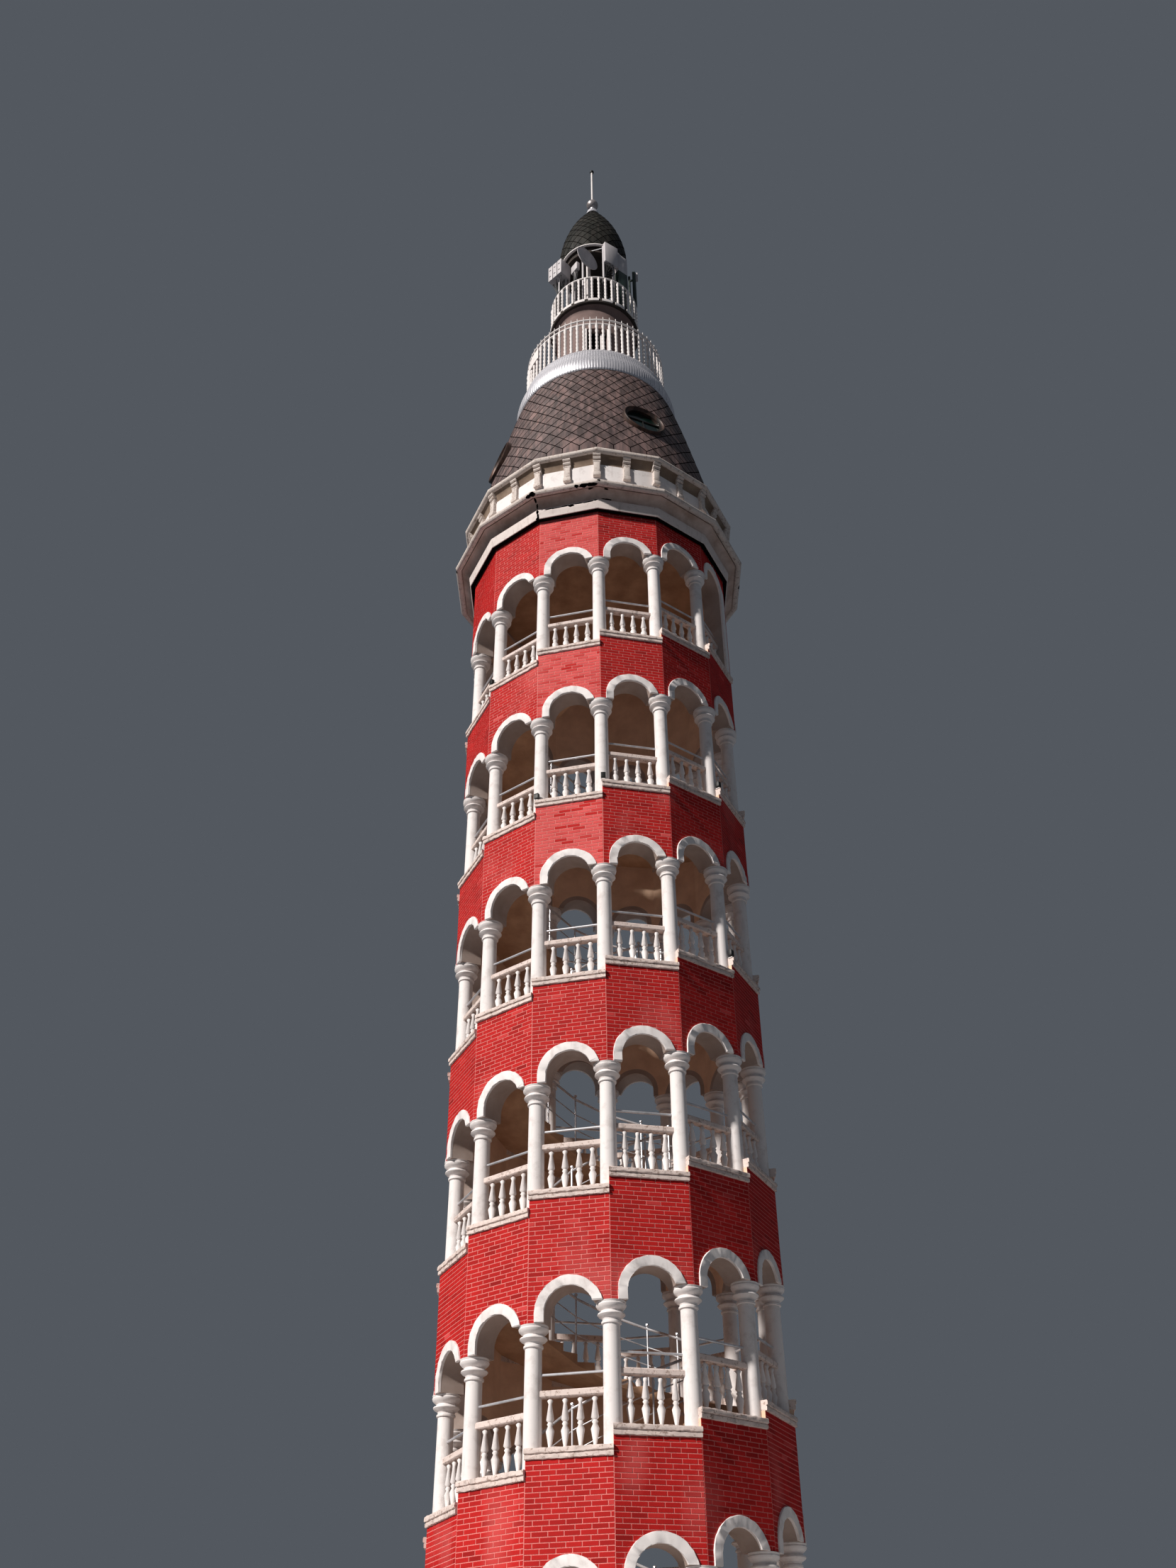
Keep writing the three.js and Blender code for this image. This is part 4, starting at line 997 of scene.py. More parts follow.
def build_lamps():
    """Small lamps on their brackets, on the sill beside a column."""
    parts = []
    for corner in LAMP_CORNERS:
        x, y, top = 0.02, -2.69, sill_height(corner) + SILL_HEIGHT
        parts += [(part, corner_turn(corner)) for part in (
            block((0.085, 0.07, 0.11), (x, y, top + 0.095), 0.008),
            tube((x, y, top - 0.01), (x, y, top + 0.05), 0.014, 10),
            coated(block((0.07, 0.08, 0.014), (x, y, top + 0.002), 0.003)),
        )]
    make_piece("sill_lamps", "cable paint", parts)


# Stair rail round the well


def helix_point(corner, above):
    """A point on the ring of the rail, at a corner, above the stair."""
    radius = WELL_RAIL_FACE / math.cos(HALF_ANGLE)
    return corner_turn(corner) @ Vector((0, -radius, sill_height(corner) + above))


def build_well_railings():
    for turn in range(TURNS):
        parts = []
        for bay in (b for b in bays_of_turn(turn) if b != DOOR_BAY):
            for above, radius in WELL_BARS:
                parts.append(tube(helix_point(bay, above), helix_point(bay + 1, above), radius))
            head = helix_point(bay, WELL_BARS[0][0] + 0.03)
            parts += [tube(helix_point(bay, 0.03), head, 0.015), ball(0.032, head + Vector((0, 0, 0.03)))]
        make_piece(f"well_bars_{turn + 1}", "steel", parts, f"well_railing_{turn + 1}")


# Cornice


def bracket(face, corner):
    """A console: three half-round ribs stepping inwards, a plain body and a small block under it."""
    half = BRACKET_WIDTH / 2
    parts = []
    for i in range(3):
        z = BRACKET_TOP - 0.045 - 0.085 * i
        reach = face + 0.115 - 0.03 * i
        parts.append(tube((-half, -reach + 0.04, z), (half, -reach + 0.04, z), 0.042, 10))
        parts.append(block((BRACKET_WIDTH - 0.012, 0.16, 0.085), (0, -reach + 0.14, z), 0.004))
    parts.append(block((BRACKET_WIDTH - 0.03, 0.10, 0.30), (0, -face - 0.01, BRACKET_TOP - 0.40), 0.008))
    parts.append(block((BRACKET_WIDTH, 0.13, 0.10), (0, -face - 0.012, BRACKET_TOP - 0.60), 0.012))
    return [(part, corner_turn(corner)) for part in parts]


def break_pieces(piece, breaks, seed):
    """Breaks lumps out of a moulding, at the places of a table. The faces of each break are near black:
    painted shade inside the break.
    """
    draw = random.Random(seed)
    cutters = []
    for bay, share, reach, height, *size in breaks:
        lump = ball(0.5, (0, 0, 0), 2)
        for vert in lump.verts:
            vert.co *= draw.uniform(0.72, 1.18)
        face = reach * math.cos(HALF_ANGLE)
        place = bay_turn(bay) @ shift((share - 0.5) * 2 * half_width(face), -face, height)
        bmesh.ops.transform(lump, matrix=place @ Matrix.Diagonal((*size, 1.0)), verts=lump.verts)
        cutters.append(new_cutter(lump, "broken"))
    cut_away(piece, cutters)


def build_cornice():
    low, high = span("cornice_cove")
    gap_low, gap_top, back = FASCIA_BOTTOM - 0.004, FASCIA_BOTTOM - 0.0005, FASCIA_BACK - 0.001
    # Painted shade: a near-black ring under the fascia stands in for the shade in the gap over the wall
    # top.
    lathe("cornice_gap", "shadow", [
        (GAP_FACE, gap_low), (GAP_EDGE, gap_low), (GAP_EDGE, gap_top), (back, gap_top), (back, low + 0.02),
        (GAP_FACE, low + 0.02),
    ], SIDES)
    # The fascia's darker tint is painted shade; its runs and chips are stains.
    fascia = lathe("cornice_fascia", "fascia broken", [
        (FASCIA_BACK, FASCIA_BOTTOM), (FASCIA_FACE - 0.006, FASCIA_BOTTOM),
        (FASCIA_FACE, FASCIA_BOTTOM + 0.006), (FASCIA_FACE + 0.010, FASCIA_BOTTOM + 0.08),
        (FASCIA_TOP_FACE - 0.004, FASCIA_TOP - 0.06), (FASCIA_TOP_FACE, FASCIA_TOP),
        (CORNICE_INSIDE, FASCIA_TOP), (CORNICE_INSIDE, low + 0.03), (FASCIA_BACK, low + 0.03),
    ], SIDES)
    edge, start = ROLL_CIRCLE - ROLL_RADIUS - 0.004, FASCIA_TOP_FACE - 0.008
    rise = ROLL_HEIGHT - 0.05 - FASCIA_TOP
    turns = [0.5 * math.pi * i / 6 for i in range(7)]
    hollow = [(start + (edge - start) * (1 - math.cos(a)), FASCIA_TOP + rise * math.sin(a)) for a in turns]
    # Painted shade: the cove takes a browner, darker render for the shade under the lower roll.
    cove = lathe("cornice_curve", "cove broken", [
        (CORNICE_INSIDE, FASCIA_TOP), *hollow, (edge, high), (CORNICE_INSIDE, high),
    ], SIDES, "cornice_cove")
    roll = lathe(
        "lower_roll_moulding", "stained_plaster broken",
        ring_profile(ROLL_CIRCLE, ROLL_HEIGHT, ROLL_RADIUS, 14), SIDES, "lower_roll", 24.0,
    )
    break_pieces(roll, ROLL_CHIPS, 61)
    break_pieces(cove, COVE_CHIPS, 62)
    break_pieces(fascia, FASCIA_CRACKS, 63)


def build_frieze():
    """The wall over the cornice with its brackets, and the upper roll on them."""
    low, high = span("frieze")
    lathe("frieze_wall", "plaster", [
        (FRIEZE_INSIDE, low), (FRIEZE_FACE + 0.13, low), (FRIEZE_FACE + 0.13, low + 0.03),
        (FRIEZE_FACE + 0.02, low + 0.05), (FRIEZE_FACE, low + 0.06), (FRIEZE_FACE, SOFFIT_BOTTOM),
        (FRIEZE_INSIDE, SOFFIT_BOTTOM),
    ], SIDES, "frieze")
    soffit = ((-0.012, 0.0), (0.004, 0.10), (0.04, 0.17), (0.09, 0.22))
    # Painted shade: the soffit takes a dark brown for the shade under the upper roll.
    lathe("frieze_soffit", "frieze", [
        (FRIEZE_INSIDE, SOFFIT_BOTTOM), *((FRIEZE_FACE + out, SOFFIT_BOTTOM + z) for out, z in soffit),
        (FRIEZE_FACE + 0.10, high), (FRIEZE_INSIDE, high),
    ], SIDES)
    consoles = []
    for half in range(2 * SIDES):
        consoles += bracket(FRIEZE_FACE * (math.cos(HALF_ANGLE) if half % 2 else 1.0), half / 2)
    make_piece("frieze_brackets", "stained_plaster", consoles)
    back = (DOME_PROFILE[0][0] + 0.001) / math.cos(HALF_ANGLE)
    rounding = arc(ROLL_RADIUS, UPPER_ROLL_HEIGHT, -0.62 * math.pi, 0.5 * math.pi, 12)
    lathe("upper_roll_moulding", "stained_plaster", [
        (back, high + SEAT), (FRIEZE_FACE + 0.09, high + SEAT),
        *((UPPER_ROLL_CIRCLE + reach, height) for reach, height in rounding),
        (back, UPPER_ROLL_HEIGHT + ROLL_RADIUS),
    ], SIDES, "upper_roll", 24.0)


# Shingled domes


def curve_along(profile):
    """A smooth curve through the profile: gives (radius, height) at a length from the foot."""
    points = [Vector(point) for point in profile]
    lengths = [0.0]
    for first, second in zip(points, points[1:]):
        lengths.append(lengths[-1] + (second - first).length)

    def at(length):
        length = min(max(length, 0.0), lengths[-1])
        i = max(j for j in range(len(lengths) - 1) if lengths[j] <= length)
        s = (length - lengths[i]) / (lengths[i + 1] - lengths[i])
        here, there = points[i], points[i + 1]
        pull_in = (there - points[max(i - 1, 0)]) / 2
        pull_out = (points[min(i + 2, len(points) - 1)] - here) / 2
        a, b = 2 * s ** 3 - 3 * s ** 2 + 1, s ** 3 - 2 * s ** 2 + s
        c, d = 3 * s ** 2 - 2 * s ** 3, s ** 3 - s ** 2
        point = a * here + b * pull_in + c * there + d * pull_out
        return point.x, point.y

    return at, lengths[-1]


def shingled_shell(profile, inside, count, pitch, first_row, seam, lift, seed):
    """A dome in diamond shingles, each with its low corner proud. Nodes of the lattice are the
    vertices whose row and column add up to an odd number; those between them are dissolved."""
    draw = random.Random(seed)
    at, length = curve_along(profile)
    rows = max(2, round((length - first_row) / pitch))
    lengths = [0.0] + [first_row + (length - first_row) * i / rows for i in range(rows + 1)]
    last, step = len(lengths) - 1, math.pi / count
    bm = bmesh.new()
    row_of = bm.verts.layers.int.new("row")
    tone = bm.faces.layers.float.new("tone")
    outside = [(row, *at(reach)) for row, reach in enumerate(lengths)]
    ends = [(row, radius - lift, height) for row, radius, height in outside]
    verts = []
    for row, radius, height in ends + [(-1, *point) for point in inside]:
        verts.append(bm.verts.new((0, -radius, height)))
        verts[-1][row_of] = row
    ring = [bm.edges.new(pair) for pair in zip(verts, verts[1:])]
    ring.append(bm.edges.new((verts[-1], verts[0])))
    bmesh.ops.spin(
        bm, geom=verts + ring, cent=(0, 0, 0), axis=(0, 0, 1), angle=math.tau, steps=2 * count,
        use_merge=True,
    )
    bmesh.ops.remove_doubles(bm, verts=bm.verts, dist=1e-5)
    bmesh.ops.recalc_face_normals(bm, faces=bm.faces)

    def column_of(vert):
        return round(math.atan2(vert.co.x, -vert.co.y) / step)

    def is_node(vert):
        return (vert[row_of] + column_of(vert)) % 2 == 1

    nodes = [v for v in bm.verts if v[row_of] >= 1 and is_node(v)]
    between = [v for v in bm.verts if 1 <= v[row_of] < last and not is_node(v)]
    bmesh.ops.connect_verts(bm, verts=nodes)
    bmesh.ops.dissolve_verts(bm, verts=between)
    upright = [
        e for e in bm.edges
        if {v[row_of] for v in e.verts} in ({last, last - 1}, {0, 1})
        and column_of(e.verts[0]) == column_of(e.verts[1])
        and any(v[row_of] == last and not is_node(v) for v in e.verts)
    ]
    bmesh.ops.dissolve_edges(bm, edges=upright, use_verts=False)
    shingles = [f for f in bm.faces if all(v[row_of] >= 0 for v in f.verts)]
    # The seams between the shingles take the second, near-black finish: painted shade under the proud
    # edges.
    coated(bm)
    bmesh.ops.inset_individual(bm, faces=shingles, thickness=seam, depth=0.0, use_even_offset=True)
    for face in shingles:
        face.material_index = 0
        face[tone] = min(1.0, max(0.0, draw.gauss(0.5, 0.16)))
        normal = face.normal.copy()
        low, high = min(v.co.z for v in face.verts), max(v.co.z for v in face.verts)
        for vert in face.verts:
            vert.co += normal * lift * (0.15 + 0.85 * (high - vert.co.z) / (high - low))
    return bm


def oculus_place(index):
    """Turns +Z of a shape to face outwards at one of the round windows."""
    lean = Matrix.Rotation(math.pi / 2 - math.radians(OCULUS_LEAN), 4, "X")
    turn = corner_turn(OCULUS_CORNER + index * SIDES / OCULUS_COUNT)
    return turn @ shift(0, -OCULUS_FACE, OCULUS_HEIGHT) @ lean


def build_main_dome(settings):
    inside = [(radius - DOME_SHELL, height) for radius, height in reversed(DOME_PROFILE[::3])]
    shell = shingled_shell(
        DOME_PROFILE, inside, settings.shingles_round, settings.shingle_height / 2,
        FIRST_SHINGLE_ROW, seam=0.010, lift=0.006, seed=21,
    )
    dome = finish_piece(shell, "dome_shingles", "shingle seam", "main_dome", 1.0)
    cutters = []
    for index in range(OCULUS_COUNT):
        hole = turned(band(0, OCULUS_RADIUS - 0.02, -0.5, 0.5), 40)
        bmesh.ops.transform(hole, matrix=oculus_place(index), verts=hole.verts)
        # The faces round each hole take the near-black seam finish: painted shade in the hole's rim.
        cutters.append(new_cutter(hole, "seam"))
    cut_away(dome, cutters)


def build_oculi():
    inner, outer, back, front = OCULUS_OPENING, OCULUS_RADIUS, OCULUS_BACK, OCULUS_FRONT
    pane = front - 0.13
    across = 2 * math.sqrt(inner ** 2 - CROSSBAR_HEIGHT ** 2)
    for index in range(OCULUS_COUNT):
        place = oculus_place(index)
        number = index + 1
        ring = turned([
            (inner, back), (outer, back), (outer, front - 0.03), (outer - 0.012, front - 0.006),
            (outer - 0.026, front), (outer - 0.04, front - 0.008), (outer - 0.05, front - 0.03),
            (inner, front - 0.06),
        ], 48)
        make_piece(f"round_window_{number}", "copper", [(ring, place)], f"oculus_frame_{number}")
        glass = turned(band(0, inner + 0.01, pane, pane + 0.008), 32)
        make_piece(f"round_pane_{number}", "glass", [(glass, place)])
        upright = (0, (CROSSBAR_HEIGHT - inner) / 2, pane + 0.02)
        make_piece(f"glazing_bars_{number}", "dark_steel", [
            (block((across, 0.03, 0.03), (0, CROSSBAR_HEIGHT, pane + 0.02), 0.004), place),
            (block((0.026, inner + 0.05, 0.026), upright, 0.004), place),
        ])


# Balconies, drum and lantern


def ring_of_posts(count, circle, foot, height, reach, first):
    """Thin turned posts with knobs, on a circle."""
    profile = [(r * reach, share * height) for r, share in SPINDLE]
    return [(turned(profile, 8), turn @ shift(0, -circle, foot)) for turn in around(count, first)]


def hand_rail(circle, height, steps):
    return turned(ring_profile(circle, height, HAND_RAIL_RADIUS, 8), steps)


def build_lower_balcony(settings):
    floor, high = span("lower_balcony_floor")[0], METAL_ROLL_HEAD
    roll = turned([
        (METAL_ROLL_INSIDE, METAL_ROLL_FOOT), *METAL_ROLL_PROFILE, (BALCONY_INSIDE, high),
        (BALCONY_INSIDE, floor), (METAL_ROLL_INSIDE, floor),
    ], 4 * settings.ribs)
    step = math.tau / (4 * settings.ribs)
    for vert in roll.verts:
        reach = math.hypot(vert.co.x, vert.co.y)
        if reach > METAL_ROLL_INSIDE + 0.05 and round(math.atan2(vert.co.y, vert.co.x) / step) % 4 == 0:
            vert.co.x += RIB_HEIGHT * vert.co.x / reach
            vert.co.y += RIB_HEIGHT * vert.co.y / reach
    make_piece("ribbed_roll", "sheet", [roll], "metal_roll", 12.0)
    low_rail = LOWER_RAILS[0]
    count, circle, first = settings.lower_posts, LOWER_RAIL_CIRCLE, LOWER_FIRST_POST
    posts = ring_of_posts(count, circle, high, low_rail - high, 0.043, first)
    posts += [(turned(SPIKE, 6), turn @ shift(0, -circle, low_rail)) for turn in around(count, first)]
    make_piece("lower_spindles", "paint", posts, "lower_balustrade", 70.0)
    make_piece("lower_hand_rails", "paint", [hand_rail(circle, z, 72) for z in LOWER_RAILS])
    left, right = (math.radians(angle) for angle in RAILING_PANEL)
    panel = band(circle + 0.027, circle + 0.039, low_rail - 0.36, low_rail - 0.02)
    make_piece("railing_panel", "paint", [turned(panel, 6, left, right - left)])


def build_drum():
    low, high = span("drum")
    inner, outer, door_top = DRUM_INSIDE, DRUM_RADIUS, DRUM_DOOR_TOP
    left, right = (math.asin(x / outer) for x in DRUM_DOOR)
    flare = ((0.0, 0.17), (0.012, 0.11), (0.045, 0.05), (0.10, 0.008), (0.10, 0.0))
    upper = [
        (inner, door_top), (outer, door_top), *((outer + out, high - z) for out, z in flare), (inner, high),
    ]
    lower = turned(band(inner, outer, low, door_top), 44, right, math.tau - right + left)
    make_piece("drum_wall", "drum", [lower, turned(upper, 48)], "drum")
    middle, height = (low + door_top) / 2, door_top - low
    posts = [(x, 0.01 - math.sqrt(outer ** 2 - x ** 2), middle) for x in DRUM_DOOR]
    trim = [block((0.07, 0.10, height - 0.02), post, 0.006) for post in posts]
    trim.append(block((0.05, 0.04, height - 0.1), (0.16, -0.80, middle), 0.006))
    make_piece("drum_door_frame", "paint", trim)
    lathe("drum_floor", "concrete", band(0, inner - 0.002, low, low + 0.01), 32)


def build_upper_balcony(settings):
    low, high = span("upper_balcony_slab")
    edge = SLAB_RADIUS
    # Painted shade: the slab's core and underside are near black for the shade under it.
    lathe("upper_slab_core", "dark_soffit", [
        (0, low), (edge - 0.035, low), (edge - 0.02, low + 0.012), (edge - 0.014, high - 0.012),
        (0, high - 0.012),
    ], 60, "upper_balcony_slab")
    inner = edge - 0.12
    profile = [
        (inner, low + 0.05), (edge - 0.004, low + 0.05), (edge, low + 0.06), (edge, high - 0.006),
        (edge - 0.006, high), (inner, high),
    ]
    turns = around(settings.slab_blocks, FIRST_SLAB_BLOCK)
    blocks = [(turned(profile, 5, angle=SLAB_BLOCK / edge), turn) for turn in turns]
    make_piece("upper_slab_blocks", "paint", blocks)
    posts = ring_of_posts(
        settings.upper_posts, UPPER_RAIL_CIRCLE, high, UPPER_RAIL - high, 0.039, UPPER_FIRST_POST
    )
    posts.append(hand_rail(UPPER_RAIL_CIRCLE, UPPER_RAIL, 60))
    make_piece("upper_spindles", "paint", posts, "upper_balustrade", 70.0)


def build_lantern():
    low, high = span("lantern_frame")
    # Painted shade: the lantern's plinth and head band are dark for the shade inside the lantern.
    make_piece("lantern_walls", "dark_soffit", [
        turned(band(LANTERN_INSIDE, LANTERN_OUTSIDE, bottom, top), 48)
        for bottom, top in ((low, low + 0.5), (high - 0.16, high))
    ])
    size, place = (0.10, 0.08, high - low - 0.02), (0, -LANTERN_POST_CIRCLE, (low + high) / 2)
    turns = around(LANTERN_POSTS, LANTERN_FIRST_POST)
    posts = [(block(size, (0, 0, 0), 0.012), turn @ shift(*place)) for turn in turns]
    make_piece("lantern_posts", "paint", posts, "lantern_frame")
    low = span("lantern_eave")[0]
    rim = ((-0.07, 0.025), (-0.03, 0.005), (0.0, 0.02), (0.0, 0.05), (-0.012, 0.06), (-0.07, 0.06))
    eave = [(EAVE_RADIUS + out, low + z) for out, z in rim]
    lathe("eave_ring", "paint", eave, 60, "lantern_eave")
    reach = EAVE_RADIUS - 0.06
    ceiling = [(0, low + 0.012), (reach, low + 0.03), (reach, low + 0.058), (0, low + 0.058)]
    # Painted shade: the underside of the eave is dark for the shade under it.
    lathe("lantern_ceiling", "dark_soffit", ceiling, 48)


# Aerials and cabinets


def facing(turn, place):
    """Places a shape made facing the front at a spot, turned to one side."""
    return shift(*place) @ about_z(math.radians(turn))


def mast(x, y, top):
    return tube((x, y, BALCONY_FLOOR + SEAT), (x, y, top), 0.03, 12)


def build_left_aerial():
    a = LEFT_AERIAL
    middle, height = (a.bottom + a.top) / 2, a.top - a.bottom
    parts = [block((a.width - 0.06, a.depth - 0.12, height - 0.04), (0, 0.04, middle), 0.01)]
    pitch = a.width / 3
    for x in (-pitch, 0.0, pitch):
        parts.append(block((pitch - 0.014, a.depth, height), (x, 0, middle), 0.014))
        for share in (-0.22, 0.22):
            place = (x, -a.depth / 2, middle + share * height)
            # Painted shade: the slot lines are near-black strips for the shade in the slots.
            parts.append(coated(block((pitch * 0.34, 0.012, 0.022), place, 0.003)))
    parts = [(part, facing(a.turn, (a.x, a.y, 0.0))) for part in parts]
    parts.append(mast(a.x, a.y, a.bottom + 0.1))
    make_piece("panel_aerial", "aerial shadow", parts, "left_aerial")


def build_boxes():
    for name, node, a, slot in BOXES:
        place = facing(a.turn, (a.x, a.y, 0.0))
        housing = block((a.width, a.depth, a.top - a.bottom), (0, 0, (a.bottom + a.top) / 2), 0.012)
        parts = [(housing, place)] + [mast(*where) for where in a.masts]
        parts += [(block((0.04, 0.14, 0.05), (0, 0.065, z), 0.004), place) for z in a.brackets]
        make_piece(name, slot, parts, node)


def cable(points, radius):
    """A sheathed cable along a smooth line through these points, closed at both ends."""
    line = bpy.data.curves.new("cable", "CURVE")
    line.dimensions = "3D"
    line.bevel_depth = radius
    line.bevel_resolution = 1
    line.use_fill_caps = True
    spline = line.splines.new("NURBS")
    spline.points.add(len(points) - 1)
    for node, place in zip(spline.points, points):
        node.co = (*place, 1.0)
    spline.order_u = 3
    spline.use_endpoint_u = True
    spline.resolution_u = 3
    maker = bpy.data.objects.new("cable", line)
    mesh = bpy.data.meshes.new_from_object(maker)
    part = bmesh.new()
    part.from_mesh(mesh)
    bmesh.ops.remove_doubles(part, verts=part.verts, dist=1e-5)
    bpy.data.meshes.remove(mesh)
    bpy.data.objects.remove(maker)
    bpy.data.curves.remove(line)
    return part


def build_cables():
    """Cables from the underside of each aerial to its mast, strapped down to the slab."""
    draw = random.Random(41)
    parts = []
    for a, count, mast_x, mast_y in CABLE_RUNS:
        place = facing(a.turn, (a.x, a.y, 0.0))
        for i in range(count):
            across = ((i + 0.5) / count - 0.5) * (a.width - 0.06)
            deep = draw.uniform(-0.35, 0.35) * a.depth
            head = place @ Vector((across, deep, a.bottom + 0.015))
            sag = place @ Vector((0.85 * across, 1.3 * deep, a.bottom - draw.uniform(0.12, 0.30)))
            angle = math.tau * i / count
            side = Vector((BUNDLE_RADIUS * math.cos(angle), BUNDLE_RADIUS * math.sin(angle), 0.0))
            strap = Vector((mast_x, mast_y, draw.uniform(*BUNDLE_TOP))) + side
            foot = Vector((mast_x, mast_y, BALCONY_FLOOR + 0.004)) + 1.3 * side
            middle = (strap + foot) / 2 + 0.4 * side
            line = [head, (head + sag) / 2, sag, (2 * strap + sag) / 3, strap, middle, foot]
            parts.append(cable(line, CABLE_RADIUS))
        for height in STRAPS:
            ring = turned(ring_profile(BUNDLE_RADIUS + CABLE_RADIUS, height, 0.006, 6), 16)
            parts.append((ring, shift(mast_x, mast_y, 0.0)))
    make_piece("strapped_cables", "cable", parts)
    x, y, top = RIGHT_AERIAL.masts[0]
    make_piece("aerial_brace", "steel", [tube((-0.13, -0.70, 34.90), (x, y, top - 0.06), 0.012)])


def build_dish():
    rim, depth = DISH_RADIUS, DISH_DEPTH
    curve = [(rim * math.sin(a), -depth * math.cos(a)) for a in (math.pi / 2 * i / 10 for i in range(11))]
    inner = [(r * 0.965, z * 0.9) for r, z in reversed(curve[1:])]
    hub = [(0, -0.17), (0.05, -0.17), (0.06, -depth + 0.02), (0, -depth + 0.02)]
    place = facing(math.degrees(DISH_TURN), DISH_PLACE) @ Matrix.Rotation(math.pi / 2, 4, "X")
    x, y, z = DISH_PLACE
    make_piece("dish", "aerial", [
        (turned([*curve, *inner, (0, -depth * 0.9)], 40), place), (turned(hub, 16), place),
        mast(x - 0.17 * math.sin(DISH_TURN), y + 0.17 * math.cos(DISH_TURN), z + 0.12),
    ], "dish_aerial")


# Small dome and finial


def build_small_dome(settings):
    foot, (neck, head) = SMALL_DOME_PROFILE[0][1], SMALL_DOME_PROFILE[-1]
    inside = [(neck * 0.5, head), (neck * 0.5, head - 0.1), (0.6, foot + 0.1), (0.6, foot)]
    shell = shingled_shell(
        SMALL_DOME_PROFILE, inside, settings.small_shingles, settings.small_shingle_height / 2,
        first_row=0.05, seam=0.008, lift=0.008, seed=31,
    )
    finish_piece(shell, "small_dome_shingles", "dark_shingle seam", "small_dome", 1.0)


def build_finial():
    low, high = span("dome_cap")
    lathe("finial_cap", "sheet", [
        (0, low), (0.183, low), (0.178, low + 0.03), (0.155, low + 0.15), (0.12, low + 0.22),
        (0.08, high - 0.08), (0.06, high - 0.05), (0.068, high - 0.025), (0.06, high), (0, high),
    ], 32, "dome_cap")
    low, high = span("finial_ball")
    bow = arc(BALL_RADIUS, BALL_HEIGHT, -0.42 * math.pi, 0.46 * math.pi, 14)
    bow = [(radius, height) for radius, height in bow if low < height < high]
    sphere = [(0, low), (0.045, low), *bow, (0.03, high), (0, high)]
    lathe("finial_sphere", "polished", sphere, 32, "finial_ball")
    low, high = span("finial_rod")
    make_piece("finial_pole", "paint cable", [
        turned([(0, low), (0.028, low), (0.026, high - 0.09), (0, high - 0.09)], 16),
        coated(turned([(radius, high - z) for radius, z in FINIAL_TIP], 16)),
    ], "finial_rod")


# Finishes of the frame's own nodes


def dress_nodes():
    # The stairs and the top ceiling take the stair render, warmed for painted bounce light.
    coats = {"ground_slab": "concrete", "top_ceiling": "soffit", "lower_balcony_floor": "concrete"}
    coats.update({f"stair_{turn + 1}": "soffit" for turn in range(TURNS)})
    for node, coat in coats.items():
        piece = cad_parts[node]
        piece.data.materials.clear()
        piece.data.materials.append(finish(coat))


# Stage


def place_camera():
    """Looks from where the photograph was taken."""
    view = bpy.data.cameras.new("camera")
    view.lens = CAMERA_LENS
    view.sensor_width = 36.0
    view.clip_end = 200.0
    pitch, yaw, roll = CAMERA_PITCH, CAMERA_YAW, CAMERA_ROLL
    ahead = Vector((math.sin(yaw) * math.cos(pitch), math.cos(yaw) * math.cos(pitch), math.sin(pitch)))
    right = Vector((math.cos(yaw), -math.sin(yaw), 0))
    up = right.cross(ahead)
    turned_right = math.cos(roll) * right + math.sin(roll) * up
    turned_up = -math.sin(roll) * right + math.cos(roll) * up
    axes = Matrix((turned_right, turned_up, -ahead)).transposed().to_4x4()
    camera = link("camera", view)
    camera.matrix_world = shift(*CAMERA_PLACE) @ axes
    bpy.context.scene.camera = camera


def build_stage(settings):
    disc = bmesh.new()
    bmesh.ops.create_circle(disc, cap_ends=True, segments=96, radius=settings.floor_radius)
    floor = link("floor", to_mesh(disc, "floor"))
    floor.location.z = -0.002
    floor.data.materials.append(finish("floor"))
    scene = bpy.context.scene
    scene.world = bpy.data.worlds.new("Studio")
    scene.world.use_nodes = True
    background = scene.world.node_tree.nodes["Background"]
    background.inputs["Color"].default_value = (*settings.sky, 1.0)
    background.inputs["Strength"].default_value = settings.sky_strength
    sun = bpy.data.lights.new("key", "SUN")
    sun.energy = settings.key_strength
    sun.angle = math.radians(settings.key_softness)
    sun.color = (1.0, 0.955, 0.91)
    azimuth, height = math.radians(settings.key_azimuth), math.radians(settings.key_height)
    toward = about_z(azimuth) @ Vector((0, -math.cos(height), math.sin(height)))
    link("key", sun).rotation_euler = toward.to_track_quat("Z", "Y").to_euler()
    place_camera()
    scene.view_settings.view_transform = "Standard"


# Settings, operators and panel


def size(name, description, default, low=0.0, high=10.0):
    return amount(name, description, default, low, high, unit="LENGTH")


def amount(name, description, default, low=0.0, high=1000.0, **kind):
    return FloatProperty(name=name, description=description, default=default, min=low, max=high, **kind)


def count(name, description, default, low):
    return IntProperty(name=name, description=description, default=default, min=low)


def colour(name, description, default):
    return FloatVectorProperty(
        name=name, description=description, default=default, size=3, min=0.0, max=2.0, subtype="COLOR"
    )


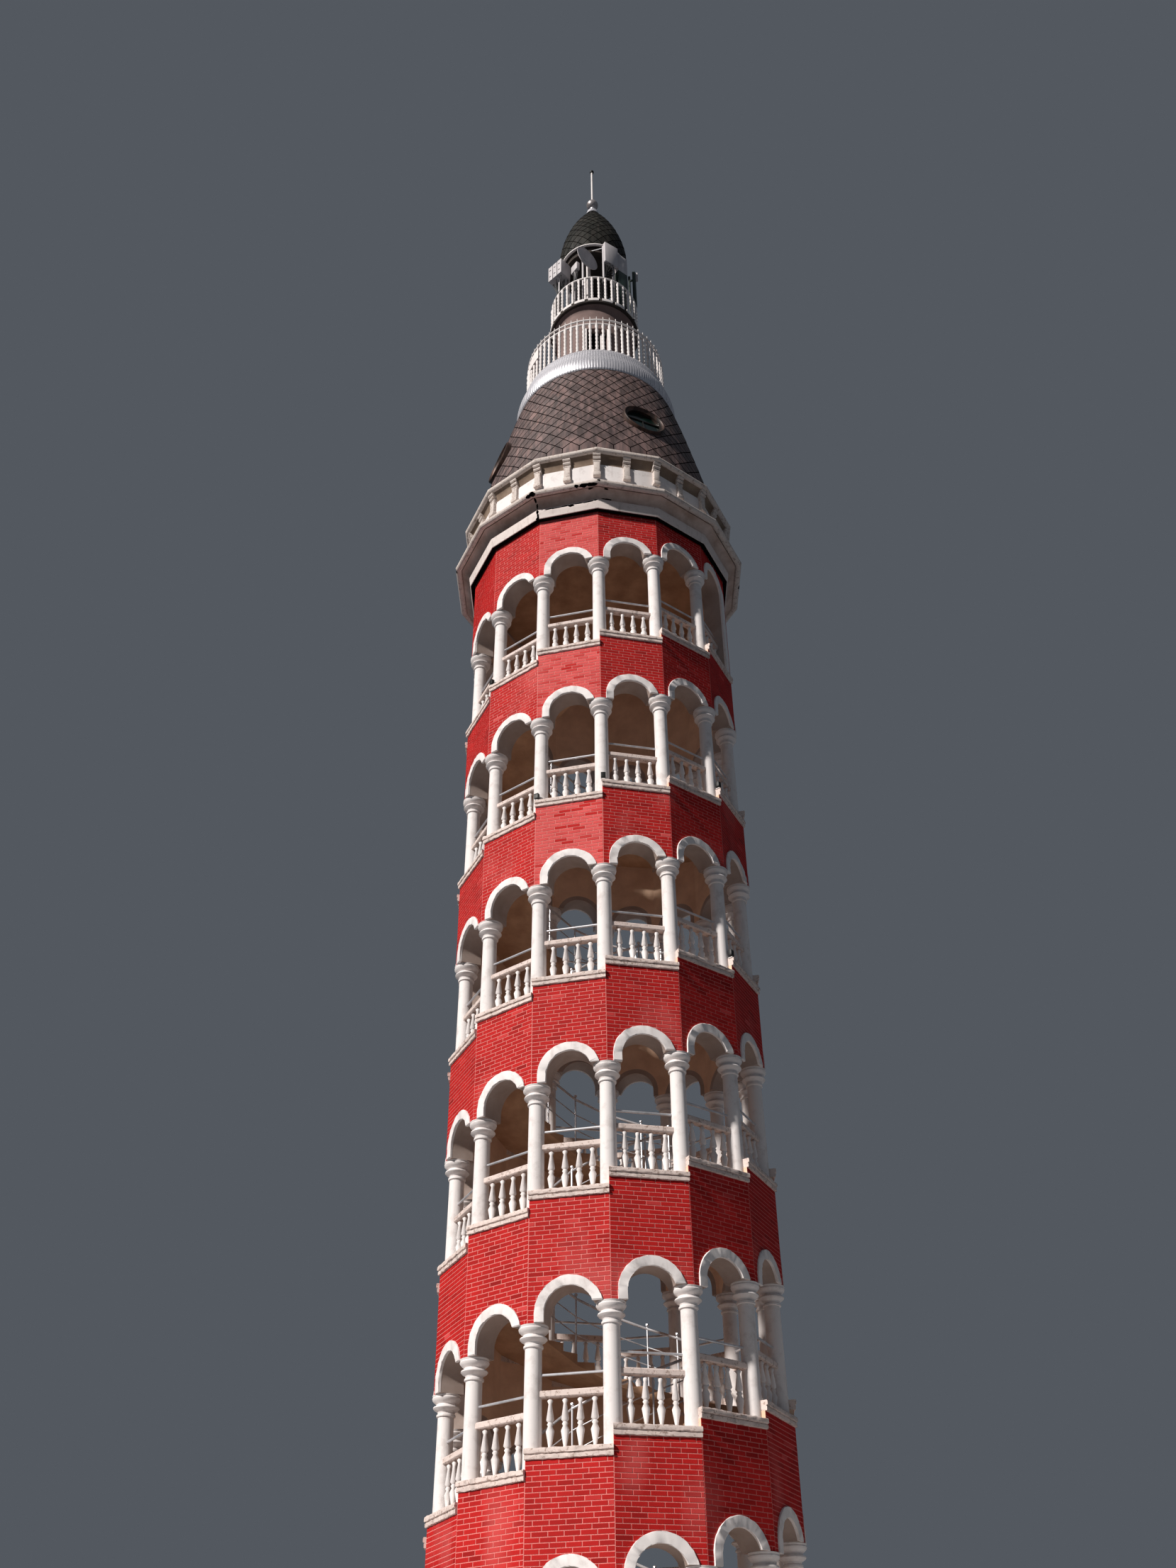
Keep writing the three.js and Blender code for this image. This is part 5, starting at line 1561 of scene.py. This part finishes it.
class BrickSettings(bpy.types.PropertyGroup):
    """Brickwork of the shaft"""

    course: size("Course", "Height of a brick with its joint", 0.0655, 0.02, 0.3)
    brick: size("Brick", "Length of a brick with its joint", 0.223, 0.05, 1.0)
    joint_width: size("Joint width", "Width of the mortar joints", 0.012, 0.001, 0.03)
    joint_depth: size("Joint depth", "How far the mortar lies behind the bricks", 0.004, 0.0, 0.02)
    tone_spread: amount("Tone spread", "How much the bricks differ in tone", 0.15, 0.0, 0.5)
    seed: count("Seed", "Which bond and tones are drawn", 7, 0)
    colour: colour("Brick", "Colour of a middling brick", (0.47, 0.013, 0.012))
    light_colour: colour("Pale brick", "Colour of the palest bricks", (0.72, 0.105, 0.10))
    joint_colour: colour("Mortar", "Colour of the mortar", (0.80, 0.235, 0.21))


class PlasterSettings(bpy.types.PropertyGroup):
    """White render of the arcade and the cornice"""

    white: colour("White", "Colour of the clean paint", (0.80, 0.748, 0.73))
    stain: colour("Stain", "Colour of the rain marks", (0.42, 0.35, 0.32))
    rust: colour("Bloom", "Colour of the brown spots", (0.20, 0.11, 0.07))
    balusters: count("Balusters", "Balusters in each bay", 4, 1)
    baluster_spacing: size("Baluster spacing", "Distance between two balusters", 0.21, 0.05, 1.0)
    tube_radius: size("Tube radius", "Radius of the steel guard tube", 0.019, 0.005, 0.1)


class MetalSettings(bpy.types.PropertyGroup):
    """Shingled domes and the balconies"""

    shingle: colour("Shingle", "Colour of the dome's shingles", (0.115, 0.080, 0.076))
    streak: colour("Streak", "Colour of the rain streaks", (0.135, 0.082, 0.068))
    small_shingle: colour("Small shingle", "Colour of the small dome's shingles", (0.021, 0.021, 0.018))
    small_streak: colour("Small streak", "Colour of the small dome's streaks", (0.036, 0.030, 0.027))
    shingles_round: count("Shingles round", "Shingles in each row of the main dome", 46, 8)
    shingle_height: size("Shingle height", "Height of a shingle of the main dome", 0.377, 0.05, 1.0)
    small_shingles: count("Small shingles", "Shingles in each row of the small dome", 20, 6)
    small_shingle_height: size("Small shingle height", "Height of a small dome's shingle", 0.30, 0.05, 1.0)
    ribs: count("Ribs", "Ribs round the metal roll", 180, 12)
    lower_posts: count("Lower posts", "Posts of the lower railing", 67, 8)
    upper_posts: count("Upper posts", "Posts of the upper railing", 40, 8)
    slab_blocks: count("Slab blocks", "White blocks round the upper slab", 20, 4)


class StageSettings(bpy.types.PropertyGroup):
    """Light and surroundings"""

    floor_radius: size("Floor", "Radius of the round floor", 12.0, 4.0, 100.0)
    sky: colour("Sky", "Colour of the surrounding light", (0.56, 0.63, 0.74))
    sky_strength: amount("Sky strength", "Strength of the surrounding light", 0.155)
    key_strength: amount("Key strength", "Strength of the main light", 4.7)
    key_softness: amount("Key softness", "Width of the main light in degrees", 3.0)
    key_azimuth: amount("Key azimuth", "Degrees to the right of the front", -48.0, -180.0, 180.0)
    key_height: amount("Key height", "Degrees over the ground", 32.0, -90.0, 90.0)


GROUPS = {
    "minaret_brick": BrickSettings,
    "minaret_plaster": PlasterSettings,
    "minaret_metal": MetalSettings,
    "minaret_stage": StageSettings,
}


class MINARET_OT_brickwork(bpy.types.Operator):
    """Lay the bricks of the ground wall and of each turn"""

    bl_idname = "minaret.brickwork"
    bl_label = "Brickwork"

    def execute(self, context):
        build_brickwork(context.scene.minaret_brick)
        return {"FINISHED"}


class MINARET_OT_archivolts(bpy.types.Operator):
    """Run the white bands round the arches"""

    bl_idname = "minaret.archivolts"
    bl_label = "Archivolts"

    def execute(self, context):
        build_archivolts()
        return {"FINISHED"}


class MINARET_OT_arcades(bpy.types.Operator):
    """Set the columns, sills, rails, balusters and guard tubes"""

    bl_idname = "minaret.arcades"
    bl_label = "Arcades"

    def execute(self, context):
        build_arcades(context.scene.minaret_plaster)
        build_lamps()
        return {"FINISHED"}


class MINARET_OT_well_railings(bpy.types.Operator):
    """Fix the rail on the inner side of the stair"""

    bl_idname = "minaret.well_railings"
    bl_label = "Stair rail"

    def execute(self, context):
        build_well_railings()
        return {"FINISHED"}


class MINARET_OT_cornice(bpy.types.Operator):
    """Run the cornice, its rolls and the frieze with its brackets"""

    bl_idname = "minaret.cornice"
    bl_label = "Cornice"

    def execute(self, context):
        build_cornice()
        build_frieze()
        return {"FINISHED"}


class MINARET_OT_main_dome(bpy.types.Operator):
    """Cover the main dome with diamond shingles"""

    bl_idname = "minaret.main_dome"
    bl_label = "Main dome"

    def execute(self, context):
        build_main_dome(context.scene.minaret_metal)
        return {"FINISHED"}


class MINARET_OT_oculi(bpy.types.Operator):
    """Set the four round windows"""

    bl_idname = "minaret.oculi"
    bl_label = "Round windows"

    def execute(self, context):
        build_oculi()
        return {"FINISHED"}


class MINARET_OT_lower_balcony(bpy.types.Operator):
    """Make the ribbed metal roll and the lower railing"""

    bl_idname = "minaret.lower_balcony"
    bl_label = "Lower balcony"

    def execute(self, context):
        build_lower_balcony(context.scene.minaret_metal)
        return {"FINISHED"}


class MINARET_OT_drum(bpy.types.Operator):
    """Build the drum with its doorway"""

    bl_idname = "minaret.drum"
    bl_label = "Drum"

    def execute(self, context):
        build_drum()
        return {"FINISHED"}


class MINARET_OT_upper_balcony(bpy.types.Operator):
    """Build the upper slab and its railing"""

    bl_idname = "minaret.upper_balcony"
    bl_label = "Upper balcony"

    def execute(self, context):
        build_upper_balcony(context.scene.minaret_metal)
        return {"FINISHED"}


class MINARET_OT_lantern(bpy.types.Operator):
    """Raise the lantern's posts and its eave"""

    bl_idname = "minaret.lantern"
    bl_label = "Lantern"

    def execute(self, context):
        build_lantern()
        return {"FINISHED"}


class MINARET_OT_aerials(bpy.types.Operator):
    """Mount the aerials, the dish and the cabinets"""

    bl_idname = "minaret.aerials"
    bl_label = "Aerials"

    def execute(self, context):
        build_left_aerial()
        build_boxes()
        build_dish()
        build_cables()
        return {"FINISHED"}


class MINARET_OT_small_dome(bpy.types.Operator):
    """Cover the small dome and set the finial"""

    bl_idname = "minaret.small_dome"
    bl_label = "Small dome and finial"

    def execute(self, context):
        build_small_dome(context.scene.minaret_metal)
        build_finial()
        return {"FINISHED"}


class MINARET_OT_dress_nodes(bpy.types.Operator):
    """Give the frame's own stairs, slab and floors their finishes"""

    bl_idname = "minaret.dress_nodes"
    bl_label = "Stairs and slabs"

    def execute(self, context):
        dress_nodes()
        return {"FINISHED"}


class MINARET_OT_stage(bpy.types.Operator):
    """Set the floor, the light and the camera"""

    bl_idname = "minaret.stage"
    bl_label = "Stage"

    def execute(self, context):
        build_stage(context.scene.minaret_stage)
        return {"FINISHED"}


OPERATORS = (
    MINARET_OT_stage,
    MINARET_OT_brickwork,
    MINARET_OT_archivolts,
    MINARET_OT_arcades,
    MINARET_OT_well_railings,
    MINARET_OT_cornice,
    MINARET_OT_main_dome,
    MINARET_OT_oculi,
    MINARET_OT_lower_balcony,
    MINARET_OT_drum,
    MINARET_OT_upper_balcony,
    MINARET_OT_lantern,
    MINARET_OT_aerials,
    MINARET_OT_small_dome,
    MINARET_OT_dress_nodes,
)


class MINARET_PT_panel(bpy.types.Panel):
    """Sizes, colours and the steps that dress the minaret"""

    bl_idname = "MINARET_PT_panel"
    bl_label = "Minaret"
    bl_space_type = "VIEW_3D"
    bl_region_type = "UI"
    bl_category = "Minaret"

    def draw(self, context):
        for name, group in GROUPS.items():
            box = self.layout.box()
            box.label(text=group.__doc__)
            for key in group.__annotations__:
                box.prop(getattr(context.scene, name), key)
        for operator in OPERATORS:
            self.layout.operator(operator.bl_idname)


def register():
    for name, group in GROUPS.items():
        bpy.utils.register_class(group)
        setattr(bpy.types.Scene, name, PointerProperty(type=group))
    for operator in OPERATORS:
        bpy.utils.register_class(operator)
    bpy.utils.register_class(MINARET_PT_panel)


def unregister():
    bpy.utils.unregister_class(MINARET_PT_panel)
    for operator in reversed(OPERATORS):
        bpy.utils.unregister_class(operator)
    for name, group in reversed(GROUPS.items()):
        delattr(bpy.types.Scene, name)
        bpy.utils.unregister_class(group)


def main():
    register()
    for operator in OPERATORS:
        group, name = operator.bl_idname.split(".")
        getattr(getattr(bpy.ops, group), name)()


if __name__ == "__main__":
    main()
